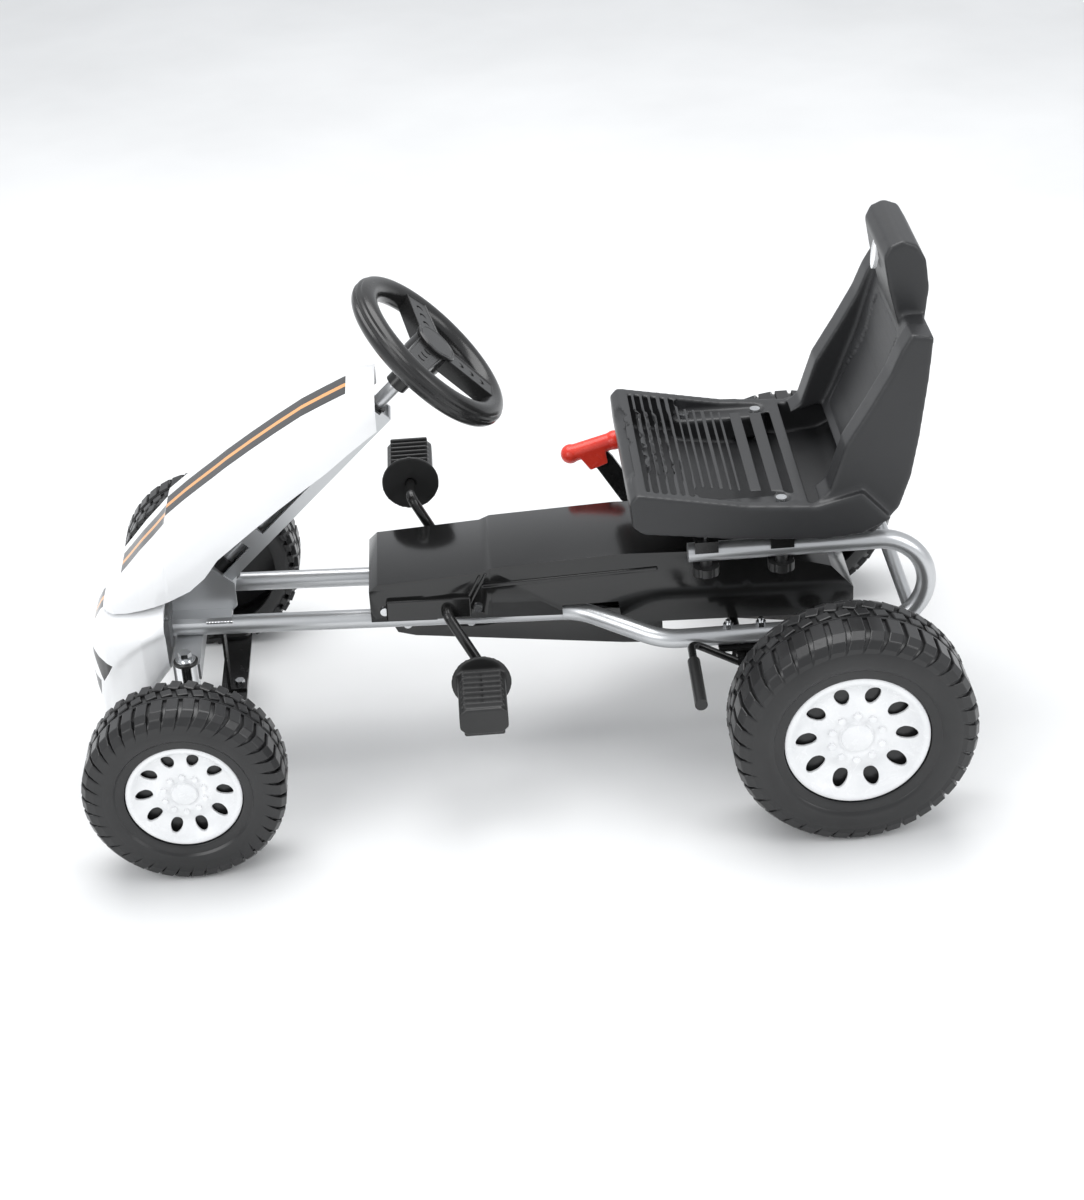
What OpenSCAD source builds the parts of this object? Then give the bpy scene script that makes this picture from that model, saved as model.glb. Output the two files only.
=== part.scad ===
// Child's pedal go kart.
// +X forward, +Y to the driver's left, +Z up, millimetres.
// The origin is on the ground under the middle of the whole kart.
// Inside place() the x axis is counted from the rear axle instead.

/* [Wheels] */
// Distance between the rear axle and the front wheels' axis
wheelbase = 726; // [680:2:800]
// Rear tyre diameter
rear_wheel_d = 266; // [240:2:300]
// Rear tyre width
rear_wheel_w = 95; // [80:1:110]
// Distance between the middles of the two rear tyres
rear_track = 513; // [490:1:600]
// Front tyre diameter
front_wheel_d = 220; // [200:2:250]
// Front tyre width
front_wheel_w = 75; // [60:1:90]
// Distance between the middles of the two front tyres
front_track = 491; // [470:1:560]
// Rear hubcap diameter
rear_cap_d = 158; // [130:1:170]
// Front hubcap diameter
front_cap_d = 126; // [110:1:140]
// Depth of a hubcap's rim below the tyre's outer face
cap_inset = 6.5; // [3:0.5:10]

/* [Frame] */
// Outer diameter of the frame tubes
tube_d = 22; // [19:0.5:25]
// Wall of the frame tubes
tube_wall = 1.6; // [1.2:0.1:2.5]
// Spacing of the two tubes in front of the pedals
front_spacing = 96; // [90:1:110]
// Spacing of the two tubes under the seat
rear_spacing = 219; // [200:1:240]
// Height of the tubes' front ends
front_tube_z = 188; // [180:1:200]
// Height of the tubes behind the bend
rear_tube_z = 161; // [155:1:170]
// Bend radius of the hoops behind the seat
hoop_r = 55.5; // [45:0.5:60]
// Length of the hoops' upper legs in front of the rear axle
hoop_leg = 160; // [120:1:180]

/* [Steering] */
// Slope of the steering column above the ground
column_angle = 44; // [38:1:50]
// Steering wheel's outer diameter
steer_d = 214; // [190:1:240]
// Thickness of the steering wheel's rim
rim_d = 28; // [20:1:32]
// Diameter of the steering shaft
shaft_d = 16; // [12:1:18]
// Distance of each kingpin from the middle plane
kingpin_y = 116; // [110:1:125]
// Outer diameter of the kingpin housings
housing_d = 26; // [22:1:30]
// Reach of the steering arms
arm_len = 36; // [30:1:42]

/* [Drive] */
// Distance of the crank in front of the rear axle
crank_x = 432; // [410:1:440]
// Throw of the crank
crank_r = 70; // [55:1:80]
// Diameter of the crank rod
crank_d = 12; // [10:0.5:14]
// Distance of the pedals' inner flanges from the middle plane
pedal_y = 128; // [120:1:140]
// Length of a pedal
pedal_len = 84; // [70:1:95]
// Diameter of a pedal's flange
flange_d = 68; // [55:1:75]
// Teeth on the crank's sprocket
crank_teeth = 14; // [12:1:15]
// Teeth on the axle's sprocket
axle_teeth = 12; // [11:1:16]
// Diameter of the rear axle
axle_d = 16; // [12:1:20]

/* [Seat] */
// Width of the seat
seat_w = 270; // [250:1:300]
// Width of the backrest's upper part
back_w = 250; // [230:1:270]
// Width of the headrest
head_w = 124; // [110:1:150]
// Height of the seat's top above the ground
seat_top = 604; // [590:1:620]

/* [Body panels] */
// Half width of the hood
hood_hw = 84; // [75:1:100]
// Half width of the nose
nose_hw = 104; // [95:1:115]
// Wall of the plastic panels
panel = 2.5; // [2:0.1:4]
// Half width of the chain cover's raised rear part
cover_hw = 62; // [58:1:70]

/* [Brake] */
// Diameter of the brake's cross shaft
brake_d = 12; // [10:1:14]
// Length of the ribbed brake sleeve
sleeve_len = 86; // [70:1:95]

/* [Hidden] */
$fn = 64;

run_fit = 0.05;          // radial clearance of a turning fit
seat_fit = 0.3;          // gap between bodies that only pass each other
rear_r = rear_wheel_d / 2;
front_r = front_wheel_d / 2;
nose_x = 846;            // foremost point of the nose, from the rear axle
mid_x = (nose_x - rear_r) / 2;
tube_r = tube_d / 2;
fy = front_spacing / 2;
ry = rear_spacing / 2;
front_end_x = wheelbase + 18;
bend_front = [280, fy, rear_tube_z + 10];
bend_rear = [190, ry, rear_tube_z];
hoop_x = -52;
hoop_top_z = rear_tube_z + 2 * hoop_r;
tube_slope = (front_tube_z - bend_front[2]) / (front_end_x - bend_front[0]);
// Height of the front tubes' centre line at x
function tube_z(x) = bend_front[2] + (x - bend_front[0]) * tube_slope;
crank_z = tube_z(crank_x) + tube_r + crank_d / 2 + 2.5;

// Placing and plain shapes -------------------------------------------------

module place() { translate([-mid_x, 0, 0]) children(); }

// A round bar along Y
module bar_y(r, y0, y1, x = 0, z = 0) {
    translate([x, y0, z]) rotate([-90, 0, 0]) cylinder(r = r, h = y1 - y0);
}

// A round bar along Z
module bar_z(r, z0, z1, x = 0, y = 0) { translate([x, y, z0]) cylinder(r = r, h = z1 - z0); }

// A round bar along X
module bar_x(r, x0, x1, y, z) { translate([x0, y, z]) rotate([0, 90, 0]) cylinder(r = r, h = x1 - x0); }

// A plate whose outline is drawn in X and Z, between two values of y
module plate_y(y0, y1) {
    translate([0, y1, 0]) rotate([90, 0, 0]) linear_extrude(y1 - y0) children();
}

// A round bar between two points
module bar(a, b, r) {
    v = b - a;
    l = norm(v);
    translate(a) rotate([0, acos(v[2] / l), atan2(v[1], v[0])]) cylinder(r = r, h = l);
}

// Half of the pieces are the same piece mirrored to the other side
module mirrored() { mirror([0, 1, 0]) children(); }

// A bent rod: straight stretches, with each bend taken in short steps along its arc
bead = 0.05;             // the joints stand this much proud, so that the stretches are one piece
bend_step = 10;          // largest angle of one step, in degrees
function unit(v) = v / norm(v);
function turn(p, i) = acos(unit(p[i] - p[i - 1]) * unit(p[i + 1] - p[i]));
function arc_points(p, b, i) =
    let (
        a = unit(p[i] - p[i - 1]),
        c = unit(p[i + 1] - p[i]),
        n = unit(c - a * (a * c)),
        t = turn(p, i),
        steps = ceil(t / bend_step),
        o = p[i] - a * b[i] * tan(t / 2) + n * b[i]
    ) [for (k = [0 : steps]) o + b[i] * (a * sin(t * k / steps) - n * cos(t * k / steps))];
function route(p, b) = [
    for (i = [0 : len(p) - 1], q = b[i] > 0 ? arc_points(p, b, i) : [p[i]]) q
];

module bent(p, b, r) {
    q = route(p, b);
    for (i = [1 : len(q) - 1]) bar(q[i - 1], q[i], r);
    for (i = [1 : len(q) - 2]) translate(q[i]) sphere(r = r + bead);
}

// A hexagon head or nut, standing on z = 0
module hex(af, h) { cylinder(d = af / cos(30), h = h, $fn = 6); }

// Frame ----------------------------------------------------------------------

// From the front end to the start of the hoop
tube_path = [[front_end_x, fy, front_tube_z], bend_front, bend_rear, [hoop_x, ry, rear_tube_z]];
weld = 0.3;              // how far the weld beads at the bends stand proud
end_cut = 1;             // how far a hollow is cut past an open end
seat_bolt_x = [56, 140];
bracket_bolt_x = [79, 116];
bolt_r = 3;

// The whole run as a solid of radius r; over is how far it reaches past the two ends
module tube_solid(r, over) {
    way = unit(tube_path[0] - bend_front);
    bar(bend_front, tube_path[0] + way * over, r);
    bar(bend_front, bend_rear, r);
    bar(bend_rear, [hoop_x, ry, rear_tube_z], r);
    for (p = [bend_front, bend_rear]) translate(p) rotate([0, 90, 0]) sphere(r = r + weld);
    translate([hoop_x, ry, rear_tube_z + hoop_r]) rotate([90, 0, 0]) rotate([0, 0, 90])
        rotate_extrude(angle = 180) translate([hoop_r, 0]) circle(r = r);
    for (z = [rear_tube_z, hoop_top_z]) bar([hoop_x - 1, ry, z], [hoop_x + 1, ry, z], r + weld);
    bar([hoop_x, ry, hoop_top_z], [hoop_leg + over, ry, hoop_top_z], r);
}
module frame_tube() {
    difference() {
        tube_solid(tube_r, 0);
        tube_solid(tube_r - tube_wall, end_cut);
        for (x = seat_bolt_x) bar_z(bolt_r, hoop_top_z - tube_d, hoop_top_z + tube_d, x, ry);
        for (x = bracket_bolt_x) bar_z(bolt_r, rear_tube_z - tube_d, rear_tube_z + tube_d, x, ry);
    }
}
module left_frame_tube() { color("silver") place() frame_tube(); }
module right_frame_tube() { color("silver") place() mirrored() frame_tube(); }

// The straight front stretch of both tubes, solid, for cutting seats in what is welded on
module front_tubes_solid() {
    for (s = [-1, 1])
        bar([front_end_x + 20, s * fy, tube_z(front_end_x + 20)], [400, s * fy, tube_z(400)], tube_r);
}

// The front axle beam is a channel under the tubes, out to the kingpin housings
beam_w = 30;
beam_h = 20;
beam_wall = 2.5;
beam_top = tube_z(wheelbase) - tube_r + 1;
housing_r = housing_d / 2;
housing_z0 = front_r + 18;
housing_z1 = beam_top + 3;

module front_beam() {
    color("silver") place() difference() {
        translate([wheelbase - beam_w / 2, -kingpin_y, beam_top - beam_h])
            cube([beam_w, 2 * kingpin_y, beam_h]);
        translate([wheelbase - beam_w / 2 + beam_wall, -kingpin_y - 1, beam_top - beam_h - 1])
            cube([beam_w - 2 * beam_wall, 2 * kingpin_y + 2, beam_h - beam_wall + 1]);
        for (s = [-1, 1]) bar_z(housing_r, 0, 300, wheelbase, s * kingpin_y);
        front_tubes_solid();
    }
}

// Kingpin housings with black flanged bushes at both ends
pin_r = 8;
bush_wall = 2.5;
bush_flange = 3;
bush_len = 18;

module kingpin_housings() {
    color("silver") place() for (s = [-1, 1]) difference() {
        bar_z(housing_r, housing_z0, housing_z1, wheelbase, s * kingpin_y);
        bar_z(pin_r + bush_wall, housing_z0 - 1, housing_z1 + 1, wheelbase, s * kingpin_y);
    }
}

module kingpin_bushes() {
    color("#151515") place() for (s = [-1, 1]) difference() {
        union() {
            bar_z(pin_r + bush_wall, housing_z0, housing_z0 + bush_len, wheelbase, s * kingpin_y);
            bar_z(housing_r + 0.8, housing_z0 - bush_flange, housing_z0, wheelbase, s * kingpin_y);
            bar_z(pin_r + bush_wall, housing_z1 - bush_len, housing_z1, wheelbase, s * kingpin_y);
            bar_z(housing_r + 0.8, housing_z1, housing_z1 + bush_flange, wheelbase, s * kingpin_y);
        }
        bar_z(pin_r + run_fit, 0, 300, wheelbase, s * kingpin_y);
    }
}

cross_r = 8;
mid_cross_x = 505;
module mid_cross_tube() {
    color("silver") place() difference() {
        bar_y(cross_r, -fy, fy, mid_cross_x, tube_z(mid_cross_x));
        bar_y(cross_r - tube_wall, -fy - 1, fy + 1, mid_cross_x, tube_z(mid_cross_x));
        front_tubes_solid();
    }
}

rear_cross_x = hoop_x - hoop_r * cos(45);
rear_cross_z = rear_tube_z + hoop_r * (1 - sin(45));
module rear_cross_tube() {
    color("silver") place() difference() {
        bar_y(cross_r, -ry, ry, rear_cross_x, rear_cross_z);
        bar_y(cross_r - tube_wall, -ry - 1, ry + 1, rear_cross_x, rear_cross_z);
        for (y = [-ry, ry]) translate([hoop_x, y, rear_tube_z + hoop_r]) rotate([90, 0, 0])
            rotate_extrude() translate([hoop_r, 0]) circle(r = tube_r);
    }
}

// Plate that closes the tubes' front ends
plate_t = 3;
module front_cross_plate() {
    color("silver") place() difference() {
        translate([plate_front - plate_t, -fy - 14, beam_top - 8])
            cube([plate_t, 2 * fy + 28, tube_d + 14]);
        for (s = [-1, 1])
            bar_x(screw_r, front_end_x - 1, plate_front + 1, s * nose_boss_y, nose_boss_z);
    }
}

// Steering column ------------------------------------------------------------

// The column's own frame: origin in the steering wheel's middle, +Z up the column
wheel_x = 430;
wheel_z = 487;
module on_column() {
    translate([wheel_x, 0, wheel_z]) rotate([0, column_angle - 90, 0]) children();
}
// Point on the column, a distance s below the steering wheel and r behind and under it
function column_point(s, r = 0) = [
    wheel_x + s * cos(column_angle) - r * sin(column_angle), 0,
    wheel_z - s * sin(column_angle) - r * cos(column_angle)
];

bush_r = shaft_d / 2 + 4;
lower_bush = [344, 370];
upper_bush = [84, 108];
bearing_s = 360;         // the bearing plate's place on the column
strut_w = 34;
gusset_y = fy - 12;
x_rear = 676;

// Pressed bracket that ties the column to both tubes
module column_bracket() {
    color("silver") place() difference() {
        union() {
            for (s = [-1, 1]) {
                plate_y(s > 0 ? gusset_y - plate_t : -fy - 8, s > 0 ? fy + 8 : -gusset_y + plate_t)
                    polygon([
                        [x_rear, tube_z(x_rear) + tube_r - 3],
                        [front_end_x, tube_z(front_end_x) + tube_r - 3],
                        [front_end_x, tube_z(front_end_x) + tube_r + plate_t],
                        [x_rear, tube_z(x_rear) + tube_r + plate_t]
                    ]);
                plate_y(s * gusset_y - (s > 0 ? plate_t : 0), s * gusset_y + (s > 0 ? 0 : plate_t))
                    polygon([
                        [x_rear, tube_z(x_rear) + tube_r], [front_end_x, tube_z(front_end_x) + tube_r],
                        [front_end_x, tube_z(front_end_x) + tube_r + 14], [712, 250], [700, 258],
                        [x_rear - 6, 232], [x_rear - 6, tube_z(x_rear) + tube_r + 6]
                    ]);
            }
            on_column() translate([-26, -gusset_y, -bearing_s - plate_t])
                cube([52, 2 * gusset_y, plate_t]);
        }
        front_tubes_solid();
        on_column() translate([0, 0, -bearing_s - 20]) cylinder(r = bush_r, h = 40);
    }
}

// Long channel under the column that carries its upper bush, and two stays that carry the hood:
// each stay's place down the column and its height over the column's axis
strut_drop = bush_r + 4;
hood_stays = [[150, 48], [300, 76]];
stay_hw = 12;
screw_r = 2.5;
screw_head_r = 5;
screw_len = 10;          // how deep a screw goes into a moulded post
post_r = 7;
module column_strut() {
    color("silver") place() on_column() difference() {
        union() {
            translate([-strut_drop - plate_t, -strut_w / 2, -bearing_s])
                cube([plate_t, strut_w, bearing_s - upper_bush[0]]);
            for (y = [-strut_w / 2, strut_w / 2 - plate_t]) translate([-strut_drop, y, -bearing_s])
                cube([10, plate_t, bearing_s - upper_bush[0]]);
            for (h = hood_stays) {
                for (y = [-strut_w / 2, strut_w / 2 - plate_t])
                    translate([-strut_drop, y, -h[0] - stay_hw])
                        cube([strut_drop + h[1], plate_t, 2 * stay_hw]);
                translate([h[1] - plate_t, -strut_w / 2, -h[0] - stay_hw]) cube([plate_t, strut_w, 2 * stay_hw]);
            }
            translate([-strut_drop, -strut_w / 2, -upper_bush[1] + 4])
                cube([strut_drop + bush_r + 3, strut_w, upper_bush[1] - upper_bush[0] - 8]);
        }
        translate([0, 0, -upper_bush[1] - 1]) cylinder(r = bush_r, h = 40);
        for (h = hood_stays) bar_x(screw_r, h[1] - plate_t - 1, h[1] + 1, 0, -h[0]);
    }
}

// Two sleeves that the steering shaft turns in
module column_bushes() {
    color("#202020") place() on_column() for (b = [lower_bush, upper_bush]) difference() {
        translate([0, 0, -b[1]]) cylinder(r = bush_r, h = b[1] - b[0]);
        translate([0, 0, -b[1] - 1]) cylinder(r = shaft_d / 2 + run_fit, h = b[1] - b[0] + 2);
    }
}

drop_s = 379;            // where the drop arm sits on the shaft
drop_r = 31;             // reach of the drop arm's pin
drop_t = 5;
stud_r = 4;

hub_r = 24;
cap_r = 26;
hub_top = 11;            // the hub and the spokes reach above the rim's middle plane
hub_bottom = -22;
spoke_w = 30;
spoke_t = 18;            // deep box spokes
spoke_angles = [72, 180, 288];
shaft_top = hub_top - 5;
rim_r = steer_d / 2 - rim_d / 2;

module steering_shaft() {
    color("silver") place() on_column() bar_z(shaft_d / 2, -drop_s, shaft_top);
}

module shaft_collar() {
    color("#151515") place() on_column() difference() {
        union() {
            bar_z(16, hub_bottom - 20, hub_bottom);
            bar_z(13, hub_bottom - 32, hub_bottom - 20);
        }
        bar_z(shaft_d / 2, hub_bottom - 40, hub_bottom + 1);
    }
}

module steering_wheel() {
    color("#1c1c1c") place() on_column() difference() {
        union() {
            rotate_extrude() translate([rim_r, 0]) circle(d = rim_d);
            for (a = spoke_angles) rotate([0, 0, a])
                translate([0, -spoke_w / 2, hub_top - spoke_t]) cube([rim_r, spoke_w, spoke_t]);
            bar_z(hub_r, hub_bottom, hub_top);
        }
        bar_z(shaft_d / 2, hub_bottom - 1, shaft_top);
    }
}

module wheel_cap() {
    color("#101010") place() on_column() difference() {
        bar_z(cap_r, hub_top, hub_top + 4);
        translate([0, 0, hub_top + 3]) rotate_extrude() translate([cap_r - 4, 0]) square([1.5, 3]);
    }
}

// Arm on the shaft's lower end; its pin stands in the tie rod's upright
module drop_arm() {
    color("#151515") place() on_column() translate([0, 0, -drop_s - drop_t]) {
        difference() {
            union() {
                cylinder(r = shaft_d / 2 + 3, h = drop_t + 8);
                translate([-drop_r, -8, 0]) cube([drop_r, 16, drop_t]);
                translate([-drop_r, 0, 0]) cylinder(r = 8, h = drop_t);
            }
            translate([0, 0, drop_t]) cylinder(d = shaft_d, h = 20);
        }
        translate([-drop_r, 0, -pin_len]) cylinder(r = stud_r, h = pin_len);
    }
}

// One flat tie rod under the front axle, from one steering arm to the other
rod_t = 4;
rod_w = 31;
arm_z = 72;              // the steering arms' underside
arm_t = 5;
rod_x = wheelbase - arm_len;
rod_bolt_x = rod_x - 7;
pin_len = 22;
slot_s = drop_s + drop_t + 14;  // where the pin passes the upright, counted down the column
upright_x = column_point(slot_s, drop_r)[0];
slot_z = column_point(slot_s, drop_r)[2];
slot_w = 2 * stud_r + 2.4;
slot_h = 28;
slot_rim = 4;

module tie_rod() {
    z0 = arm_z - rod_t - seat_fit;
    color("#151515") place() difference() {
        union() {
            translate([rod_x - rod_w / 2, -kingpin_y, z0]) cube([rod_w, 2 * kingpin_y, rod_t]);
            for (s = [-1, 1]) bar_z(rod_w / 2, z0, z0 + rod_t, rod_x, s * kingpin_y);
        }
        for (s = [-1, 1]) bar_z(stud_r + run_fit, z0 - 1, z0 + rod_t + 1, rod_x, s * kingpin_y);
        bar_z(bolt_r, z0 - 1, z0 + rod_t + 1, rod_bolt_x, 0);
    }
}

// Folded plate bolted to the tie rod, with the slot that the drop arm's pin moves in
upright_w = 24;
upright_t = 3;
module tie_rod_upright() {
    z0 = arm_z - seat_fit;
    color("#151515") place() difference() {
        union() {
            translate([rod_x - rod_w / 2, -upright_w / 2, z0])
                cube([upright_x - rod_x + rod_w / 2 + upright_t / 2, upright_w, upright_t]);
            translate([upright_x - upright_t / 2, -upright_w / 2, z0])
                cube([upright_t, upright_w, slot_z + slot_h / 2 + slot_rim - z0]);
        }
        bar_z(bolt_r, z0 - 1, z0 + upright_t + 1, rod_bolt_x, 0);
        translate([upright_x - 10, -slot_w / 2, slot_z - slot_h / 2]) cube([20, slot_w, slot_h]);
    }
}

module tie_rod_bolt() {
    z0 = arm_z - rod_t - seat_fit;
    color("silver") place() {
        bar_z(bolt_r, z0 - 6, z0 + rod_t + upright_t, rod_bolt_x, 0);
        translate([rod_bolt_x, 0, z0 + rod_t + upright_t]) hex(10, 5);
        translate([rod_bolt_x, 0, z0 - 5]) hex(10, 5);
    }
}

// Knuckles -------------------------------------------------------------------

stub_r = 6;
knuckle_r = 13;
cap_depth = 22;          // depth of the hubcap's seat in the tyre's face
stub_end_y = front_track / 2 + front_wheel_w / 2 - cap_depth + 4;

module knuckle() {
    top = housing_z0 - bush_flange - seat_fit;
    union() {
        bar_z(knuckle_r, arm_z, top, wheelbase, kingpin_y);
        bar_z(pin_r, arm_z, housing_z1 + bush_flange + seat_fit, wheelbase, kingpin_y);
        bar_y(stub_r, kingpin_y, stub_end_y, wheelbase, front_r);
        bar_y(stub_r + 4, kingpin_y, (front_track - front_wheel_w) / 2 + 8 - seat_fit, wheelbase, front_r);
        translate([rod_x, kingpin_y - 14, arm_z]) cube([arm_len, 28, arm_t]);
        bar_z(14, arm_z, arm_z + arm_t, rod_x, kingpin_y);
        bar_z(stud_r, arm_z - rod_t - 3, arm_z, rod_x, kingpin_y);
    }
}
module left_knuckle() { color("#202020") place() knuckle(); }
module right_knuckle() { color("#202020") place() mirrored() knuckle(); }

module knuckle_bolts() {
    z = housing_z1 + bush_flange + seat_fit;
    bar_z(11.5, z, z + 2, wheelbase, kingpin_y);
    bar_z(8.5, z + 2, z + 3.6, wheelbase, kingpin_y);
    translate([wheelbase, kingpin_y, z + 3.6]) hex(13, 7);
    translate([wheelbase, stub_end_y - 4, front_r]) rotate([-90, 0, 0]) difference() {
        union() {
            translate([0, 0, seat_fit]) cylinder(r = 11, h = 1.6);
            translate([0, 0, seat_fit + 1.6]) hex(16, 6);
        }
        cylinder(r = stub_r, h = 20, center = true);
    }
    bar_z(7, arm_z - rod_t - 2 * seat_fit - 3, arm_z - rod_t - 2 * seat_fit, rod_x, kingpin_y);
}
module left_knuckle_bolts() {
    color("silver") place() difference() {
        knuckle_bolts();
        bar_z(stud_r, 0, arm_z, rod_x, kingpin_y);
    }
}
module right_knuckle_bolts() {
    color("silver") place() mirrored() difference() {
        knuckle_bolts();
        bar_z(stud_r, 0, arm_z, rod_x, kingpin_y);
    }
}

// Wheels ---------------------------------------------------------------------

web_t = 5;
// Half of a tyre's cross-section, as radius and place across the tyre
module tyre(r, w, cap_d, bore, hub) {
    h = w / 2;
    c = cap_d / 2;
    rotate([-90, 0, 0]) rotate_extrude() polygon([
        [bore, h - cap_depth], [c + 1, h - cap_depth], [c + 1, h - 2], [c + 10, h - 1],
        [r - 24, h], [r - 12, h - 3], [r - 4, h - 11], [r, h - 20],
        [r, -h + 20], [r - 4, -h + 11], [r - 12, -h + 3], [r - 20, -h], [r - 30, -h],
        [r - 30, -h + 4], [r - 20, -h + 5], [r - 11, -h + 14], [r - 8, -h + 22],
        [r - 8, h - 24], [r - 14, h - 14], [r - 26, h - cap_depth - web_t],
        [hub, h - cap_depth - web_t], [hub, -h + 8], [bore, -h + 8]
    ]);
}

// White dished hubcap with a ring of long holes
cap_holes = 10;
module hubcap(d, w) {
    c = d / 2;
    z = w / 2 - cap_inset;
    k = c / 63;
    rotate([-90, 0, 0]) difference() {
        rotate_extrude() polygon([
            [0, z - 3], [14 * k, z - 3], [16 * k, z - 5], [28 * k, z - 3], [34 * k, z - 4.5],
            [54 * k, z - 2.5], [57 * k, z], [c - 1.5, z], [c, z - 1.5], [c, w / 2 - cap_depth],
            [c - 3, w / 2 - cap_depth], [c - 3, z - 3], [56 * k, z - 4.9], [34 * k, z - 7],
            [28 * k, z - 5.4], [0, z - 5.4]
        ]);
        for (i = [0 : cap_holes - 1]) rotate([0, 0, i * 360 / cap_holes]) {
            for (r = [39.5 * k, 47 * k]) translate([r, 0, 0]) cylinder(r = 5.6 * k, h = w);
            translate([39.5 * k, -5.6 * k, 0]) cube([7.5 * k, 11.2 * k, w]);
        }
    }
}

module at_front_wheel() { place() translate([wheelbase, front_track / 2, front_r]) children(); }
module at_front_right() { place() mirrored() translate([wheelbase, front_track / 2, front_r]) children(); }
module at_rear_wheel() { place() translate([0, rear_track / 2, rear_r]) children(); }
module at_rear_right() { place() mirrored() translate([0, rear_track / 2, rear_r]) children(); }

module front_tyre() { tyre(front_r, front_wheel_w, front_cap_d, stub_r + run_fit, 16); }
module rear_tyre() { tyre(rear_r, rear_wheel_w, rear_cap_d, axle_d / 2, 20); }
module front_left_tyre() { color("#181818") at_front_wheel() front_tyre(); }
module front_right_tyre() { color("#181818") at_front_right() front_tyre(); }
module rear_left_tyre() { color("#181818") at_rear_wheel() rear_tyre(); }
module rear_right_tyre() { color("#181818") at_rear_right() rear_tyre(); }
module front_left_hubcap() { color("white") at_front_wheel() hubcap(front_cap_d, front_wheel_w); }
module front_right_hubcap() { color("white") at_front_right() hubcap(front_cap_d, front_wheel_w); }
module rear_left_hubcap() { color("white") at_rear_wheel() hubcap(rear_cap_d, rear_wheel_w); }
module rear_right_hubcap() { color("white") at_rear_right() hubcap(rear_cap_d, rear_wheel_w); }

// Rear axle ------------------------------------------------------------------

axle_r = axle_d / 2;
bearing_r = axle_r + 6;
axle_end_y = rear_track / 2 + rear_wheel_w / 2 - cap_depth + 3;
module rear_axle() { color("#3a3a3a") place() bar_y(axle_r, -axle_end_y, axle_end_y, 0, rear_r); }

// A pierced nut on each end of the axle, under the hubcap
module axle_nuts() {
    color("silver") place() for (s = [-1, 1]) mirror([0, s < 0 ? 1 : 0, 0])
        translate([0, axle_end_y - 3, rear_r]) rotate([-90, 0, 0]) difference() {
            hex(20, 3.4);
            translate([0, 0, -1]) cylinder(r = axle_r, h = 4);
        }
}

// Brackets under the rear tubes hold the axle's bushes
axle_plate_t = 8;
module axle_bracket() {
    difference() {
        plate_y(ry - axle_plate_t / 2, ry + axle_plate_t / 2) polygon([
            [-34, rear_tube_z - 4], [34, rear_tube_z - 4], [30, rear_tube_z - tube_r - 6],
            [bearing_r + 6, rear_r - 12], [10, rear_r - bearing_r - 6], [-10, rear_r - bearing_r - 6],
            [-bearing_r - 6, rear_r - 12], [-30, rear_tube_z - tube_r - 6]
        ]);
        bar([-80, ry, rear_tube_z], [120, ry, rear_tube_z], tube_r);
        bar_y(bearing_r, 0, 300, 0, rear_r);
    }
}
module left_axle_bracket() { color("silver") place() axle_bracket(); }
module right_axle_bracket() { color("silver") place() mirrored() axle_bracket(); }

module axle_bushes() {
    color("#151515") place() for (s = [-1, 1]) mirror([0, s < 0 ? 1 : 0, 0]) difference() {
        union() {
            bar_y(bearing_r, ry - 9, ry + 9, 0, rear_r);
            bar_y(bearing_r + 4, ry + axle_plate_t / 2, ry + axle_plate_t / 2 + 3, 0, rear_r);
        }
        bar_y(axle_r + run_fit, 0, 300, 0, rear_r);
        bar([-80, ry, rear_tube_z], [120, ry, rear_tube_z], tube_r);
    }
}

// Chain drive ----------------------------------------------------------------

pitch = 12.7;
roller_r = 4.1;
sprocket_t = 2.4;
function pitch_r(n) = pitch / (2 * sin(180 / n));
module sprocket(n, bore) {
    translate([0, sprocket_t / 2, 0]) rotate([90, 0, 0]) difference() {
        union() {
            cylinder(r = pitch_r(n) + 3.2, h = sprocket_t);
            translate([0, 0, -4]) cylinder(r = bore + 5, h = sprocket_t + 8);
        }
        for (i = [0 : n - 1]) rotate([0, 0, (i + 0.5) * 360 / n])
            translate([pitch_r(n) + 0.6, 0, -10]) cylinder(r = roller_r, h = 20);
        translate([0, 0, -10]) cylinder(r = bore, h = 30);
    }
}
module axle_sprocket() { color("#4a4a4a") place() translate([0, 0, rear_r]) sprocket(axle_teeth, axle_r); }
module crank_sprocket() {
    color("#4a4a4a") place() translate([crank_x, 0, crank_z]) sprocket(crank_teeth, crank_d / 2);
}

// Side plates of the chain: a loop around both sprockets, on each side of their teeth
chain_half = 4;
plate_gap = 1.6;
chain_plate_t = 1.2;
lip = 0.1;               // round ends stand this much proud of the straight edges they meet
run_angle = atan2(crank_z - rear_r, crank_x);
run_len = norm([crank_x, crank_z - rear_r]);
spread = asin((pitch_r(crank_teeth) - pitch_r(axle_teeth)) / run_len);

module chain_outline(d) {
    rear = pitch_r(axle_teeth) + d;
    front = pitch_r(crank_teeth) + d;
    circle(r = rear + lip);
    translate([run_len, 0]) circle(r = front + lip);
    polygon([
        [-rear * sin(spread), rear * cos(spread)], [-rear * sin(spread), -rear * cos(spread)],
        [run_len - front * sin(spread), -front * cos(spread)],
        [run_len - front * sin(spread), front * cos(spread)]
    ]);
}

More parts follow.
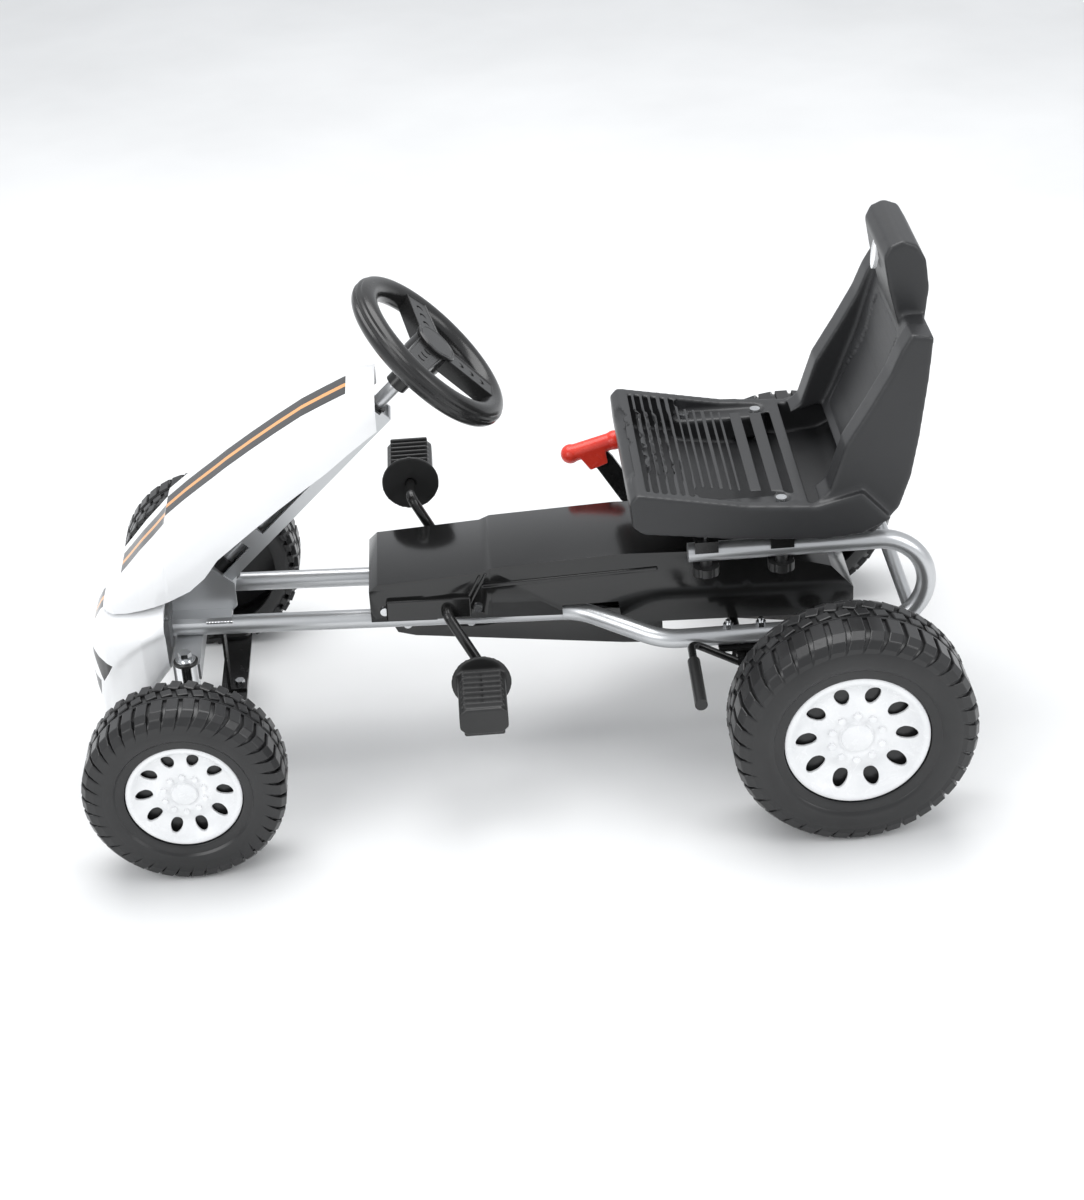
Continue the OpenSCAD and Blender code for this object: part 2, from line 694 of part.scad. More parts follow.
module chain() {
    color("#6a6460") place() translate([0, 0, rear_r]) rotate([0, -run_angle, 0]) {
        for (s = [-1, 1])
            translate([0, s * (plate_gap + chain_plate_t / 2) + chain_plate_t / 2, 0]) rotate([90, 0, 0])
                linear_extrude(chain_plate_t) difference() {
                    chain_outline(chain_half);
                    chain_outline(-chain_half);
                }
        n = floor((run_len - 2 * pitch_r(crank_teeth)) / pitch);
        for (i = [0 : n], s = [-1, 1]) {
            x = pitch_r(crank_teeth) + (i + 0.5) * pitch;
            z = pitch_r(axle_teeth) / cos(spread) + x * tan(spread);
            bar_y(roller_r - 1.2, -plate_gap, plate_gap, x, s * z);
        }
    }
}

// Crank and pedals -----------------------------------------------------------

crank_rod_r = crank_d / 2;
crank_angle = 241;       // direction of the left pedal from the crank's axis, 0 forward, 90 up
crank_out_y = 78;
crank_bend = 12;
function crank_dir(a) = [cos(a), 0, sin(a)];
crank_pin = [crank_x, 0, crank_z] + crank_r * crank_dir(crank_angle);
pedal_end_y = pedal_y + pedal_len - 12;

module crank_half() {
    bent([
        [crank_x, 0, crank_z], [crank_x, crank_out_y, crank_z],
        [crank_pin[0], crank_out_y + 14, crank_pin[2]],
        [crank_pin[0], pedal_end_y, crank_pin[2]]
    ], [0, crank_bend, crank_bend, 0], crank_rod_r);
}
module crank() {
    color("#1a1a1a") place() {
        crank_half();
        translate([crank_x, 0, crank_z]) rotate([0, 0, 180]) translate([-crank_x, 0, -crank_z])
            mirror([0, 0, 1]) translate([0, 0, -2 * crank_z]) crank_half();
    }
}

// Pillow blocks on the tubes for the crank
module crank_bushes() {
    z0 = tube_z(crank_x) + tube_r - 4;
    color("#151515") place() for (s = [-1, 1]) difference() {
        union() {
            bar_y(crank_rod_r + 4, s * fy - 7, s * fy + 7, crank_x, crank_z);
            translate([crank_x - 16, s * fy - 7, z0]) cube([32, 14, 6]);
            translate([crank_x - crank_rod_r - 4, s * fy - 7, z0])
                cube([crank_d + 8, 14, crank_z - z0]);
        }
        bar_y(crank_rod_r + run_fit, -100, 100, crank_x, crank_z);
        front_tubes_solid();
    }
}

// Pedal: a round inner flange and a deep ribbed tread block, free on the crank's pin
pedal_bore = crank_rod_r + run_fit;
module pedal() {
    translate([crank_pin[0], 0, crank_pin[2]]) difference() {
        union() {
            bar_y(flange_d / 2, pedal_y, pedal_y + 4);
            plate_y(pedal_y + 4, pedal_y + pedal_len) polygon([
                [-27, -8], [-20, -15], [20, -15], [27, -8], [27, 12], [20, 17], [-20, 17], [-27, 12]
            ]);
        }
        bar_y(pedal_bore, pedal_y - 1, pedal_end_y + 1);
        for (x = [-18 : 9 : 18])
            translate([x - 1.5, pedal_y + 12, 14]) cube([3, pedal_len - 20, 5]);
    }
}
module left_pedal() { color("#1c1c1c") place() pedal(); }
module right_pedal() {
    color("#1c1c1c") place() translate([crank_x, 0, crank_z]) rotate([0, 0, 180])
        translate([-crank_x, 0, -crank_z]) mirror([0, 0, 1]) translate([0, 0, -2 * crank_z]) pedal();
}

// Chain cover and guard ------------------------------------------------------

cover_front_x = 518;
cover_step_x = 380;
cover_rear_x = -34;
cover_top = 249;
cover_front_hw = fy + tube_r + panel + 0.3;
cover_wide_x = 300;      // in front of this the cover reaches down over the tubes

// Outline of the cover seen from the side: outside, and the hollow that is cut from it
module cover_outside() {
    polygon([
        [cover_rear_x, 150], [cover_rear_x, 184], [cover_rear_x + 26, 214], [90, cover_top - 6],
        [230, cover_top], [cover_step_x - 4, cover_top - 6], [cover_step_x + 8, 238],
        [cover_front_x - 10, 231], [cover_front_x, 222], [cover_front_x, tube_z(cover_front_x) - 4],
        [cover_wide_x, tube_z(cover_wide_x) - 4], [cover_wide_x, 187], [236, 187], [232, 158], [90, 156]
    ]);
}
module cover_hollow() {
    t = panel;
    polygon([
        [cover_rear_x + t, 100], [cover_rear_x + t, 183], [cover_rear_x + 27, 214 - t * 1.3],
        [90, cover_top - 6 - t], [230, cover_top - t], [cover_step_x - 5, cover_top - 6 - t],
        [cover_step_x + 7, 238 - t], [cover_front_x - 11, 231 - t], [cover_front_x - t, 221],
        [cover_front_x - t, 100]
    ]);
}
module chain_cover() {
    color("#161616") place() difference() {
        union() {
            intersection() {
                plate_y(-cover_front_hw, cover_front_hw) cover_outside();
                translate([cover_wide_x, -100, 0]) cube([400, 200, 400]);
            }
            intersection() {
                plate_y(-cover_hw, cover_hw) cover_outside();
                translate([-100, -100, 0]) cube([100 + cover_step_x, 200, 400]);
            }
        }
        plate_y(-cover_front_hw + panel, cover_front_hw - panel) cover_hollow();
        bar_y(crank_rod_r + 5, -200, 200, crank_x, crank_z);
        translate([crank_x - crank_rod_r - 5, -200, 0]) cube([crank_d + 10, 400, crank_z]);
        for (s = [-1, 1])
            bar([600, s * fy, tube_z(600)], [450, s * fy, tube_z(450)], tube_r + 0.1);
        for (x = screw_x, s = [-1, 1]) screw_hole(x, s);
    }
}
screw_x = [502, 396];
module screw_hole(x, s) {
    bar_y(screw_r, s > 0 ? fy : -100, s > 0 ? 100 : -fy, x, tube_z(x) + 17);
}

// Trough under the chain, hung between the tubes
guard_hw = fy - tube_r - 0.3;
module guard_side(t) {
    polygon([
        [500 - t, 175], [490 - t, 152 + t], [470, 146 + t], [230, 116 + t], [200 + t, 114 + t],
        [184 + t, 121], [184 + t, 158], [300, 170]
    ]);
}
module chain_guard() {
    color("#1a1a1a") place() difference() {
        plate_y(-guard_hw, guard_hw) guard_side(0);
        plate_y(-guard_hw + panel, guard_hw - panel) union() {
            guard_side(panel);
            polygon([[170, 122], [170, 200], [488, 200], [488, 156]]);
        }
        bar_y(cross_r + 0.3, -100, 100, mid_cross_x, tube_z(mid_cross_x));
        for (x = guard_screw_x, s = [-1, 1]) bar_y(screw_r, s > 0 ? 20 : -60, s > 0 ? 60 : -20, x, guard_screw_z(x));
    }
}
guard_screw_x = [478, 405];
function guard_screw_z(x) = tube_z(x) - tube_r - 5;

// Round-headed screws of the cover and of the guard
module cover_screws() {
    color("silver") place() for (s = [-1, 1]) {
        for (x = screw_x) {
            y = cover_front_hw;
            bar_y(screw_r, s > 0 ? y - panel - 4 : -y, s > 0 ? y : -y + panel + 4, x, tube_z(x) + 17);
            bar_y(screw_head_r, s > 0 ? y : -y - 2.4, s > 0 ? y + 2.4 : -y, x, tube_z(x) + 17);
        }
        for (x = guard_screw_x) {
            y = guard_hw;
            bar_y(screw_r, s > 0 ? y - 6 : -y, s > 0 ? y : -y + 6, x, guard_screw_z(x));
            bar_y(screw_head_r, s > 0 ? y : -y - 2.4, s > 0 ? y + 2.4 : -y, x, guard_screw_z(x));
        }
    }
}

// Bolts that hold the brake brackets, with their nuts on top of the tubes
flange_t = 3;
module frame_bolts() {
    z0 = rear_tube_z - tube_r;
    color("silver") place() for (x = bracket_bolt_x, s = [-1, 1]) {
        bar_z(bolt_r, z0 - flange_t, z0 + tube_d + 9, x, s * ry);
        translate([x, s * ry, z0 - flange_t - 4]) hex(10, 4);
        difference() {
            translate([x, s * ry, z0 + tube_d - 1]) hex(10, 6);
            mirror([0, s < 0 ? 1 : 0, 0]) bar([0, ry, rear_tube_z], [160, ry, rear_tube_z], tube_r);
        }
    }
}

// Hood and nose --------------------------------------------------------------

hood_rear_x = 492;
module hood_side(t) {
    polygon([
        [hood_rear_x - t * 4, 459 - t], [526, 453 - t * 1.1], [575, 430 - t * 1.2],
        [635, 393 - t * 1.3], [695, 351 - t * 1.3], [734, 321 - t * 1.4], [772, 282 - t * 1.5],
        [800, 250 - t * 1.6], [822 - t, 215 - t * 1.2], [822 - t, 212 - t * 8], [755, 236 - t * 8],
        [741, 240 - t * 8], [697, 270 - t * 8], [680, 296 - t * 8], [600, 350 - t * 8],
        [hood_rear_x - t * 4, 424 - t * 8]
    ]);
}
module hood_plan(t) {
    polygon([
        [hood_rear_x - t * 4, -hood_hw + 22 + t], [540, -hood_hw + 10 + t], [680, -hood_hw + t],
        [760, -hood_hw + t], [808 - t, -hood_hw + 22 + t], [822 - t, -hood_hw + 48 + t],
        [822 - t, hood_hw - 48 - t], [808 - t, hood_hw - 22 - t], [760, hood_hw - t],
        [680, hood_hw - t], [540, hood_hw - 10 - t], [hood_rear_x - t * 4, hood_hw - 22 - t]
    ]);
}
module hood_solid(t) {
    intersection() {
        plate_y(-200, 200) hood_side(t);
        linear_extrude(600) hood_plan(t);
    }
}
module hood() {
    color("white") place() difference() {
        hood_solid(0);
        difference() {
            hood_solid(panel);
            on_column() for (h = hood_stays) bar_x(post_r, h[1], h[1] + 40, 0, -h[0]);
        }
        on_column() for (h = hood_stays) bar_x(screw_r, h[1] - 1, h[1] + screw_len, 0, -h[0]);
    }
}

module nose_side(t) {
    polygon([
        [750 - t * 2, 234 - t * 1.2], [822, 211.7 - t * 1.2], [838 - t, 190], [nose_x - t, 140],
        [nose_x - t, 92], [836 - t, 64 + t], [806, 72 + t], [772 - t, 116 + t], [750 - t * 2, 150 + t * 0.5]
    ]);
}
module nose_plan(t) {
    polygon([
        [750 - t * 2, -nose_hw + t], [790, -nose_hw + t], [822 - t, -nose_hw + 16 + t],
        [840 - t, -nose_hw + 50 + t], [nose_x - t, -nose_hw + 84], [nose_x - t, nose_hw - 84],
        [840 - t, nose_hw - 50 - t], [822 - t, nose_hw - 16 - t], [790, nose_hw - t], [750 - t * 2, nose_hw - t]
    ]);
}
module nose_solid(t) {
    intersection() {
        plate_y(-200, 200) nose_side(t);
        linear_extrude(600) nose_plan(t);
    }
}
nose_boss_y = 27;
nose_boss_z = 186;
nose_boss_end = 836;
plate_front = front_end_x + 0.4 + plate_t;
module nose() {
    color("white") place() difference() {
        union() {
            difference() {
                nose_solid(0);
                nose_solid(panel);
            }
            for (s = [-1, 1]) bar_x(post_r, plate_front, nose_boss_end, s * nose_boss_y, nose_boss_z);
        }
        for (s = [-1, 1])
            bar_x(screw_r, plate_front - 1, plate_front + screw_len, s * nose_boss_y, nose_boss_z);
    }
}

// Screws up into the hood's posts and forward into the nose's
module hood_screws() {
    color("silver") place() {
        on_column() for (h = hood_stays) {
            bar_x(screw_head_r, h[1] - plate_t - 3, h[1] - plate_t, 0, -h[0]);
            bar_x(screw_r, h[1] - plate_t - 1, h[1] + screw_len, 0, -h[0]);
        }
        for (s = [-1, 1]) {
            bar_x(screw_head_r, plate_front - plate_t - 3, plate_front - plate_t,
                s * nose_boss_y, nose_boss_z);
            bar_x(screw_r, plate_front - plate_t - 1, plate_front + screw_len,
                s * nose_boss_y, nose_boss_z);
        }
    }
}

// Seat -----------------------------------------------------------------------

seat_z0 = hoop_top_z + tube_r + 7;
seat_wall = 0.9;         // size of the moulding's inner hollow, as a share of its outside
seat_shoulder_z = 520;

module seat_pan() {
    polygon([
        [224, 352], [222, 322], [210, 312], [109, seat_z0 + 8], [11, seat_z0],
        [-30, seat_z0 + 4], [-62, seat_z0 + 20], [-30, 345], [20, 332], [96, 338], [216, 361]
    ]);
}
module seat_back() {
    polygon([
        [-10, seat_z0 + 2], [-45, seat_z0 - 2], [-72, 318], [-84, 355], [-92, 403], [-100, 470],
        [-104, seat_shoulder_z], [-82, seat_shoulder_z], [-60, 440], [-34, 370], [-20, 340]
    ]);
}
module seat_head() {
    polygon([
        [-80, 495], [-104, 495], [-110, 548], [-106, 580], [-96, seat_top - 6],
        [-80, seat_top], [-66, seat_top - 6], [-60, 585], [-66, 550]
    ]);
}
module seat_side() {
    polygon([
        [-72, 318], [22, 330], [5, 345], [-12, 398], [-37, 440], [-58, 478], [-69, 505],
        [-80, seat_shoulder_z + 4], [-104, seat_shoulder_z], [-100, 470], [-92, 403], [-84, 355]
    ]);
}
// A hollow of the same shape about the middle c
module shrunk(c) { translate(c) scale(seat_wall) translate(-c) children(); }
bolster_w = 34;
recess_z = 330;          // floor of the long recesses that the seat's bolts sit in
module recess_outline(w) {
    for (x = seat_bolt_x) translate([x, 0]) circle(r = w);
    translate([seat_bolt_x[0], -w]) square([seat_bolt_x[1] - seat_bolt_x[0], 2 * w]);
}

module seat() {
    hw = seat_w / 2;
    bw = back_w / 2;
    color("#1a1a1a") place() difference() {
        union() {
            difference() {
                union() {
                    plate_y(-hw, hw) seat_pan();
                    plate_y(-bw, bw) seat_back();
                    plate_y(-head_w / 2, head_w / 2) seat_head();
                    for (y = [-bw, bw - bolster_w]) plate_y(y, y + bolster_w) seat_side();
                }
                shrunk([90, 0, 325]) plate_y(-hw, hw) seat_pan();
                shrunk([-72, 0, 410]) plate_y(-bw + 6, bw - 6) seat_back();
                shrunk([-86, 0, 550]) plate_y(-head_w / 2, head_w / 2) seat_head();
            }
            for (y = [-ry, ry]) translate([0, y, seat_z0 + 12])
                linear_extrude(recess_z - seat_z0 - 12) recess_outline(14);
        }
        for (y = [-ry, ry]) translate([0, y, recess_z]) linear_extrude(60) recess_outline(11);
        for (x = seat_bolt_x, y = [-ry, ry]) bar_z(bolt_r, 200, 400, x, y);
    }
}

// Saddles between the seat and the hoops' upper legs
module seat_saddles() {
    color("#101010") place() for (x = seat_bolt_x, s = [-1, 1]) difference() {
        translate([x - 13, s * ry - 12, hoop_top_z + 4]) cube([26, 24, seat_z0 - hoop_top_z - 4]);
        bar([-20, s * ry, hoop_top_z], [200, s * ry, hoop_top_z], tube_r);
        bar_z(bolt_r, 200, 400, x, s * ry);
        plate_y(-200, 200) polygon([
            [222, 322], [210, 312], [109, seat_z0 + 8], [11, seat_z0], [11, 400], [222, 400]
        ]);
    }
}

module seat_bolts() {
    color("silver") place() for (x = seat_bolt_x, s = [-1, 1]) {
        bar_z(bolt_r, hoop_top_z - tube_r - 14, recess_z, x, s * ry);
        bar_z(6, recess_z, recess_z + 4, x, s * ry);
    }
}

// Hand knobs under the tubes that clamp the seat's bolts
module seat_knobs() {
    color("#151515") place() for (x = seat_bolt_x, s = [-1, 1]) difference() {
        union() {
            bar_z(7, hoop_top_z - tube_r - 6, hoop_top_z - tube_r + 2, x, s * ry);
            bar_z(15, hoop_top_z - tube_r - 16, hoop_top_z - tube_r - 6, x, s * ry);
        }
        bar_z(bolt_r, 200, 400, x, s * ry);
        bar([-20, s * ry, hoop_top_z], [200, s * ry, hoop_top_z], tube_r);
        for (a = [0 : 60 : 300]) translate([x, s * ry, 0]) rotate([0, 0, a]) bar_z(3.5, 200, 300, 17, 0);
    }
}

// Brake ----------------------------------------------------------------------

brake_x = 102.5;
brake_z = 138;
brake_r = brake_d / 2;
brake_left_y = 129;
lever_y = -148;
rod_r = 4.5;
sleeve_r = 7;
sleeve_end = [163, 250, 165];
rod_knee = [161, brake_left_y, 167];
rod_foot = [brake_x - 6, brake_left_y, brake_z - 7];
rod_bend = 14;

module brake_bracket() {
    z0 = rear_tube_z - tube_r;
    difference() {
        union() {
            translate([66, ry - 13, z0 - flange_t]) cube([62, 26, flange_t]);
            plate_y(ry - 2.5, ry + 2.5) polygon([
                [84, z0 - flange_t], [121, z0 - flange_t], [112, brake_z - 11], [93, brake_z - 11]
            ]);
        }
        bar_y(brake_r + run_fit, 0, 300, brake_x, brake_z);
        for (x = bracket_bolt_x) {
            bar_z(bolt_r, 100, 200, x, ry);
            translate([x, ry, z0 - flange_t - 14]) hex(10, 14);
        }
    }
}
module left_brake_bracket() { color("#151515") place() brake_bracket(); }
module right_brake_bracket() { color("#151515") place() mirrored() brake_bracket(); }

// Cross shaft with the bent rod that presses the left rear tyre
module brake_shaft() {
    color("#151515") place() {
        bar_y(brake_r, lever_y - 4, brake_left_y + 5, brake_x, brake_z);
        bent([rod_foot, rod_knee, sleeve_end], [0, rod_bend, 0], rod_r);
    }
}

module brake_sleeve() {
    d = unit(sleeve_end - rod_knee);
    color("#0e0e0e") place() difference() {
        bar(sleeve_end + d * 4 - d * sleeve_len, sleeve_end + d * 4, sleeve_r);
        bar(rod_knee, sleeve_end, rod_r);
    }
}

// Flat bar from the cross shaft up to the handle
lever_t = 5;
lever_hw = 12;
lever_path = [[brake_x, brake_z], [205, 212], [232, 257], [242, 270]];
module lever_outline(w) {
    for (i = [0 : len(lever_path) - 1]) translate(lever_path[i]) circle(r = w);
    for (i = [0 : len(lever_path) - 2]) {
        v = lever_path[i + 1] - lever_path[i];
        translate(lever_path[i]) rotate([0, 0, atan2(v[1], v[0])])
            translate([0, lip - w]) square([norm(v), 2 * (w - lip)]);
    }
}
module brake_lever() {
    color("#151515") place() difference() {
        plate_y(lever_y - lever_t / 2, lever_y + lever_t / 2) lever_outline(lever_hw);
        bar_y(brake_r, lever_y - 10, lever_y + 10, brake_x, brake_z);
    }
}

// Red T-shaped handle, pushed over the bar's end
handle_r = 10.5;
module brake_handle() {
    color("red") place() difference() {
        union() {
            bar([218, lever_y, 286], [276, lever_y, 270], handle_r);
            plate_y(lever_y - handle_r, lever_y + handle_r) polygon([
                [232, 280], [264, 272], [250, 252], [229, 260]
            ]);
        }
        plate_y(lever_y - lever_t / 2, lever_y + lever_t / 2) lever_outline(lever_hw);
    }
}

// Every sub-part ---------------------------------------------------------------

left_frame_tube();
right_frame_tube();
front_beam();
mid_cross_tube();
rear_cross_tube();
front_cross_plate();
column_bracket();
column_strut();
column_bushes();
kingpin_housings();
kingpin_bushes();
left_axle_bracket();
right_axle_bracket();
axle_bushes();
crank_bushes();
left_brake_bracket();
right_brake_bracket();
chain();
chain_cover();
chain_guard();
cover_screws();
frame_bolts();
hood();
nose();
hood_screws();
seat();
seat_saddles();
seat_bolts();
seat_knobs();
steering_shaft();
shaft_collar();
steering_wheel();
wheel_cap();
drop_arm();
tie_rod();
tie_rod_upright();
tie_rod_bolt();
left_knuckle();
left_knuckle_bolts();
right_knuckle();
right_knuckle_bolts();
front_left_tyre();
front_left_hubcap();
front_right_tyre();
front_right_hubcap();
rear_axle();
axle_sprocket();
axle_nuts();
rear_left_tyre();
rear_left_hubcap();
rear_right_tyre();
rear_right_hubcap();
crank();
crank_sprocket();
left_pedal();
right_pedal();
brake_shaft();
brake_sleeve();
brake_lever();
brake_handle();
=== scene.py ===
# %% [markdown]
# A pedal go kart, finished for rendering. The measured model comes in as a fixed frame,
# and each piece that needs a finer shape is modelled again in the same place.
# The size of the frame is kept first, so that the finished pieces can be compared with it.

# %% Load the frame
import math
import bpy
from mathutils import Matrix, Vector


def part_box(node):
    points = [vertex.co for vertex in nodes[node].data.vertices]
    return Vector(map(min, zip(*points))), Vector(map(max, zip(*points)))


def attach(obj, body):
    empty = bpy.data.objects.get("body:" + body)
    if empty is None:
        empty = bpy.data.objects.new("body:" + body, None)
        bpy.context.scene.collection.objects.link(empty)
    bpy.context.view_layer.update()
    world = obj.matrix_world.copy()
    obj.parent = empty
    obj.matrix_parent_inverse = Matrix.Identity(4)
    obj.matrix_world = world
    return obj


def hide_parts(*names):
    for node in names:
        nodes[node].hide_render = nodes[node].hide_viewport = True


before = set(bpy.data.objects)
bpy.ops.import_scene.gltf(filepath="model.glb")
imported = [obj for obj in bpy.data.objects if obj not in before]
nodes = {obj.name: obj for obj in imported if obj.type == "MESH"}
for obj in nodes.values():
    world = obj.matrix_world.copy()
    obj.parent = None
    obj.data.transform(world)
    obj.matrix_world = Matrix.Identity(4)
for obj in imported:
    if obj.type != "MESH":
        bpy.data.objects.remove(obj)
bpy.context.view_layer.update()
print("CAD nodes:", len(nodes))

# %% [markdown]
# The kart was drawn with X counted forward from the rear axle, in millimetres. One small
# function turns those numbers into metres in the shared frame, so every cell below can use
# the sizes a maker would write down. The sizes that several pieces share are named here.

# %% From kart millimetres to metres
AXLE_TO_MIDDLE = 356.5
WHEELBASE = 726
REAR_RADIUS, REAR_CAP_RADIUS, REAR_WIDTH = 133, 79, 95
FRONT_RADIUS, FRONT_CAP_RADIUS, FRONT_WIDTH = 110, 63, 75
REAR_WHEEL_Y, FRONT_WHEEL_Y = 256.5, 245.5
AT_ORIGIN = Matrix.Identity(4)


def kart(x, y, z):
    return Vector(((x - AXLE_TO_MIDDLE) / 1000, y / 1000, z / 1000))


print("rear axle at", [round(v, 4) for v in kart(0, 0, REAR_RADIUS)])

# %% [markdown]
# The camera stands to the kart's left and looks down on it. It is turned a little about its
# own line of sight.

# %% Camera
AZIMUTH, ELEVATION, ROLL = (math.radians(a) for a in (1.59, 30.90, -3.32))
CAMERA_PLACE = (0.03198, 2.42704, 1.61215)
back = Vector((math.sin(AZIMUTH) * math.cos(ELEVATION), math.cos(AZIMUTH) * math.cos(ELEVATION),
               math.sin(ELEVATION)))
level = Vector((0, 0, 1)).cross(back).normalized()
upright = back.cross(level)
across = level * math.cos(ROLL) + upright * math.sin(ROLL)
above = upright * math.cos(ROLL) - level * math.sin(ROLL)
camera = bpy.data.objects.new("camera", bpy.data.cameras.new("camera"))
camera.matrix_world = Matrix.Translation(CAMERA_PLACE) @ Matrix(
    (across, above, back)).transposed().to_4x4()
camera.data.lens = 72.68
camera.data.sensor_width = 36
bpy.context.scene.collection.objects.link(camera)
bpy.context.scene.camera = camera
bpy.context.scene.view_settings.view_transform = "Standard"
print("camera lens", camera.data.lens)

# %% [markdown]
# Two short helpers for shader trees: one joins two sockets, and the other adds a node and
# fills in its settings and its inputs' values.

# %% Node helpers
def links_of(tree):
    def join(a, b):
        tree.links.new(a, b)
    return join


def node(tree, kind, values=None, **settings):
    n = tree.nodes.new(kind)
    for key, value in settings.items():
        setattr(n, key, value)
    for key, value in (values or {}).items():
        n.inputs[key].default_value = value
    return n


print("node helpers ready")

# %% [markdown]
# Every finish here is a hard surface: moulded plastic, paint or bare metal. They differ in
# colour and gloss, but share three effects: broad cloudy variation, a fine grain that can be
# felt, and scuffs. One group makes all three from the piece's own coordinates, and each
# material gives it its own sizes. The group gives out only masks and a height.

# %% The surface group
def surface_group():
    tree = bpy.data.node_groups.new("surface", "ShaderNodeTree")
    for name, value in (("Cloud size", 12.0), ("Grain size", 900.0), ("Scuff size", 60.0)):
        s = tree.interface.new_socket(name, in_out="INPUT", socket_type="NodeSocketFloat")
        s.default_value = value
    for name in ("Cloud", "Grain", "Scuff"):
        tree.interface.new_socket(name, in_out="OUTPUT", socket_type="NodeSocketFloat")
    join = links_of(tree)
    start, end = node(tree, "NodeGroupInput"), node(tree, "NodeGroupOutput")
    place = node(tree, "ShaderNodeTexCoord")
    cloud = node(tree, "ShaderNodeTexNoise", {"Detail": 4.0, "Roughness": 0.6})
    grain = node(tree, "ShaderNodeTexNoise", {"Detail": 2.0, "Roughness": 0.5})
    scuff = node(tree, "ShaderNodeTexNoise", {"Detail": 8.0, "Roughness": 0.75, "Distortion": 1.5})
    cut = node(tree, "ShaderNodeMapRange", {"From Min": 0.56, "From Max": 0.74})
    for n, size in ((cloud, "Cloud size"), (grain, "Grain size"), (scuff, "Scuff size")):
        join(place.outputs["Object"], n.inputs["Vector"])
        join(start.outputs[size], n.inputs["Scale"])
    join(scuff.outputs["Fac"], cut.inputs["Value"])
    join(cloud.outputs["Fac"], end.inputs["Cloud"])
    join(grain.outputs["Fac"], end.inputs["Grain"])
    join(cut.outputs["Result"], end.inputs["Scuff"])
    return tree


SURFACE = surface_group()
print("group", SURFACE.name)

# %% [markdown]
# A finish is one Principled shader. The cloud mask shifts its colour between two close
# shades, the scuffs change its gloss, and the grain lifts its surface by a few hundredths
# of a millimetre. Those numbers are what tells one plastic or metal from another.

# %% A finish
def finish(name, shade, other, gloss, metal=0.0, clouds=12.0, grain=900.0, scuffs=60.0,
           depth=0.05, coat=0.0, specular=0.5):
    m = bpy.data.materials.new(name)
    m.use_nodes = True
    tree = m.node_tree
    join = links_of(tree)
    shader = tree.nodes["Principled BSDF"]
    shader.inputs["Metallic"].default_value = metal
    shader.inputs["Coat Weight"].default_value = coat
    shader.inputs["Coat Roughness"].default_value = 0.12
    shader.inputs["Specular IOR Level"].default_value = specular
    group = node(tree, "ShaderNodeGroup", node_tree=SURFACE)
    for key, value in (("Cloud size", clouds), ("Grain size", grain), ("Scuff size", scuffs)):
        group.inputs[key].default_value = value
    spread = node(tree, "ShaderNodeMapRange", {"From Min": 0.3, "From Max": 0.7})
    mix = node(tree, "ShaderNodeMix", data_type="RGBA")
    mix.inputs["A"].default_value = (*shade, 1)
    mix.inputs["B"].default_value = (*other, 1)
    rough = node(tree, "ShaderNodeMapRange", {"To Min": gloss[0], "To Max": gloss[1]})
    bump = node(tree, "ShaderNodeBump", {"Strength": 1.0, "Distance": depth / 1000})
    join(group.outputs["Cloud"], spread.inputs["Value"])
    join(spread.outputs["Result"], mix.inputs["Factor"])
    join(group.outputs["Scuff"], rough.inputs["Value"])
    join(group.outputs["Grain"], bump.inputs["Height"])
    join(mix.outputs["Result"], shader.inputs["Base Color"])
    join(rough.outputs["Result"], shader.inputs["Roughness"])
    join(bump.outputs["Normal"], shader.inputs["Normal"])
    return m


silver = finish("silver_coat", (0.52, 0.53, 0.54), (0.60, 0.61, 0.62), (0.30, 0.36), metal=0.8,
                clouds=4, grain=1600, depth=0.010)
powder = finish("black_powder_coat", (0.006, 0.006, 0.006), (0.012, 0.012, 0.012), (0.22, 0.4),
                grain=700, depth=0.03)
chrome = finish("plated_steel", (0.62, 0.63, 0.64), (0.78, 0.79, 0.80), (0.14, 0.24), metal=1.0,
                clouds=20, grain=1400, depth=0.008)
zinc = finish("zinc_plate", (0.52, 0.53, 0.54), (0.72, 0.73, 0.74), (0.24, 0.45), metal=1.0,
              clouds=90, grain=1600, depth=0.03)
steel = finish("dark_steel", (0.09, 0.09, 0.095), (0.20, 0.19, 0.18), (0.32, 0.55), metal=0.9,
               clouds=60, grain=1200, depth=0.04)
nylon = finish("black_nylon", (0.010, 0.010, 0.010), (0.018, 0.018, 0.018), (0.38, 0.55),
               grain=1100, depth=0.04)
cover_plastic = finish("cover_plastic", (0.006, 0.006, 0.006), (0.012, 0.012, 0.012),
                       (0.16, 0.26), clouds=6, grain=500, depth=0.015, coat=0.3)
seat_plastic = finish("seat_plastic", (0.018, 0.0185, 0.0195), (0.026, 0.0265, 0.028),
                      (0.40, 0.50), clouds=5, grain=1300, depth=0.05)
tyre_plastic = finish("tyre_plastic", (0.010, 0.010, 0.0105), (0.018, 0.018, 0.0185),
                      (0.30, 0.46), clouds=14, grain=800, depth=0.04)
grip_plastic = finish("grip_plastic", (0.010, 0.010, 0.010), (0.017, 0.017, 0.017),
                      (0.24, 0.34), clouds=9, grain=900, depth=0.02)
white_plastic = finish("white_plastic", (0.80, 0.81, 0.82), (0.86, 0.865, 0.87), (0.16, 0.28),
                       clouds=6, grain=600, depth=0.02, coat=0.3)
cap_plastic = finish("hubcap_plastic", (0.74, 0.75, 0.76), (0.84, 0.845, 0.85), (0.26, 0.42),
                     clouds=30, grain=900, depth=0.03)
red_plastic = finish("red_plastic", (0.70, 0.030, 0.018), (0.82, 0.055, 0.030), (0.26, 0.42),
                     clouds=30, grain=900, depth=0.05)
print("finishes:", len(bpy.data.materials))

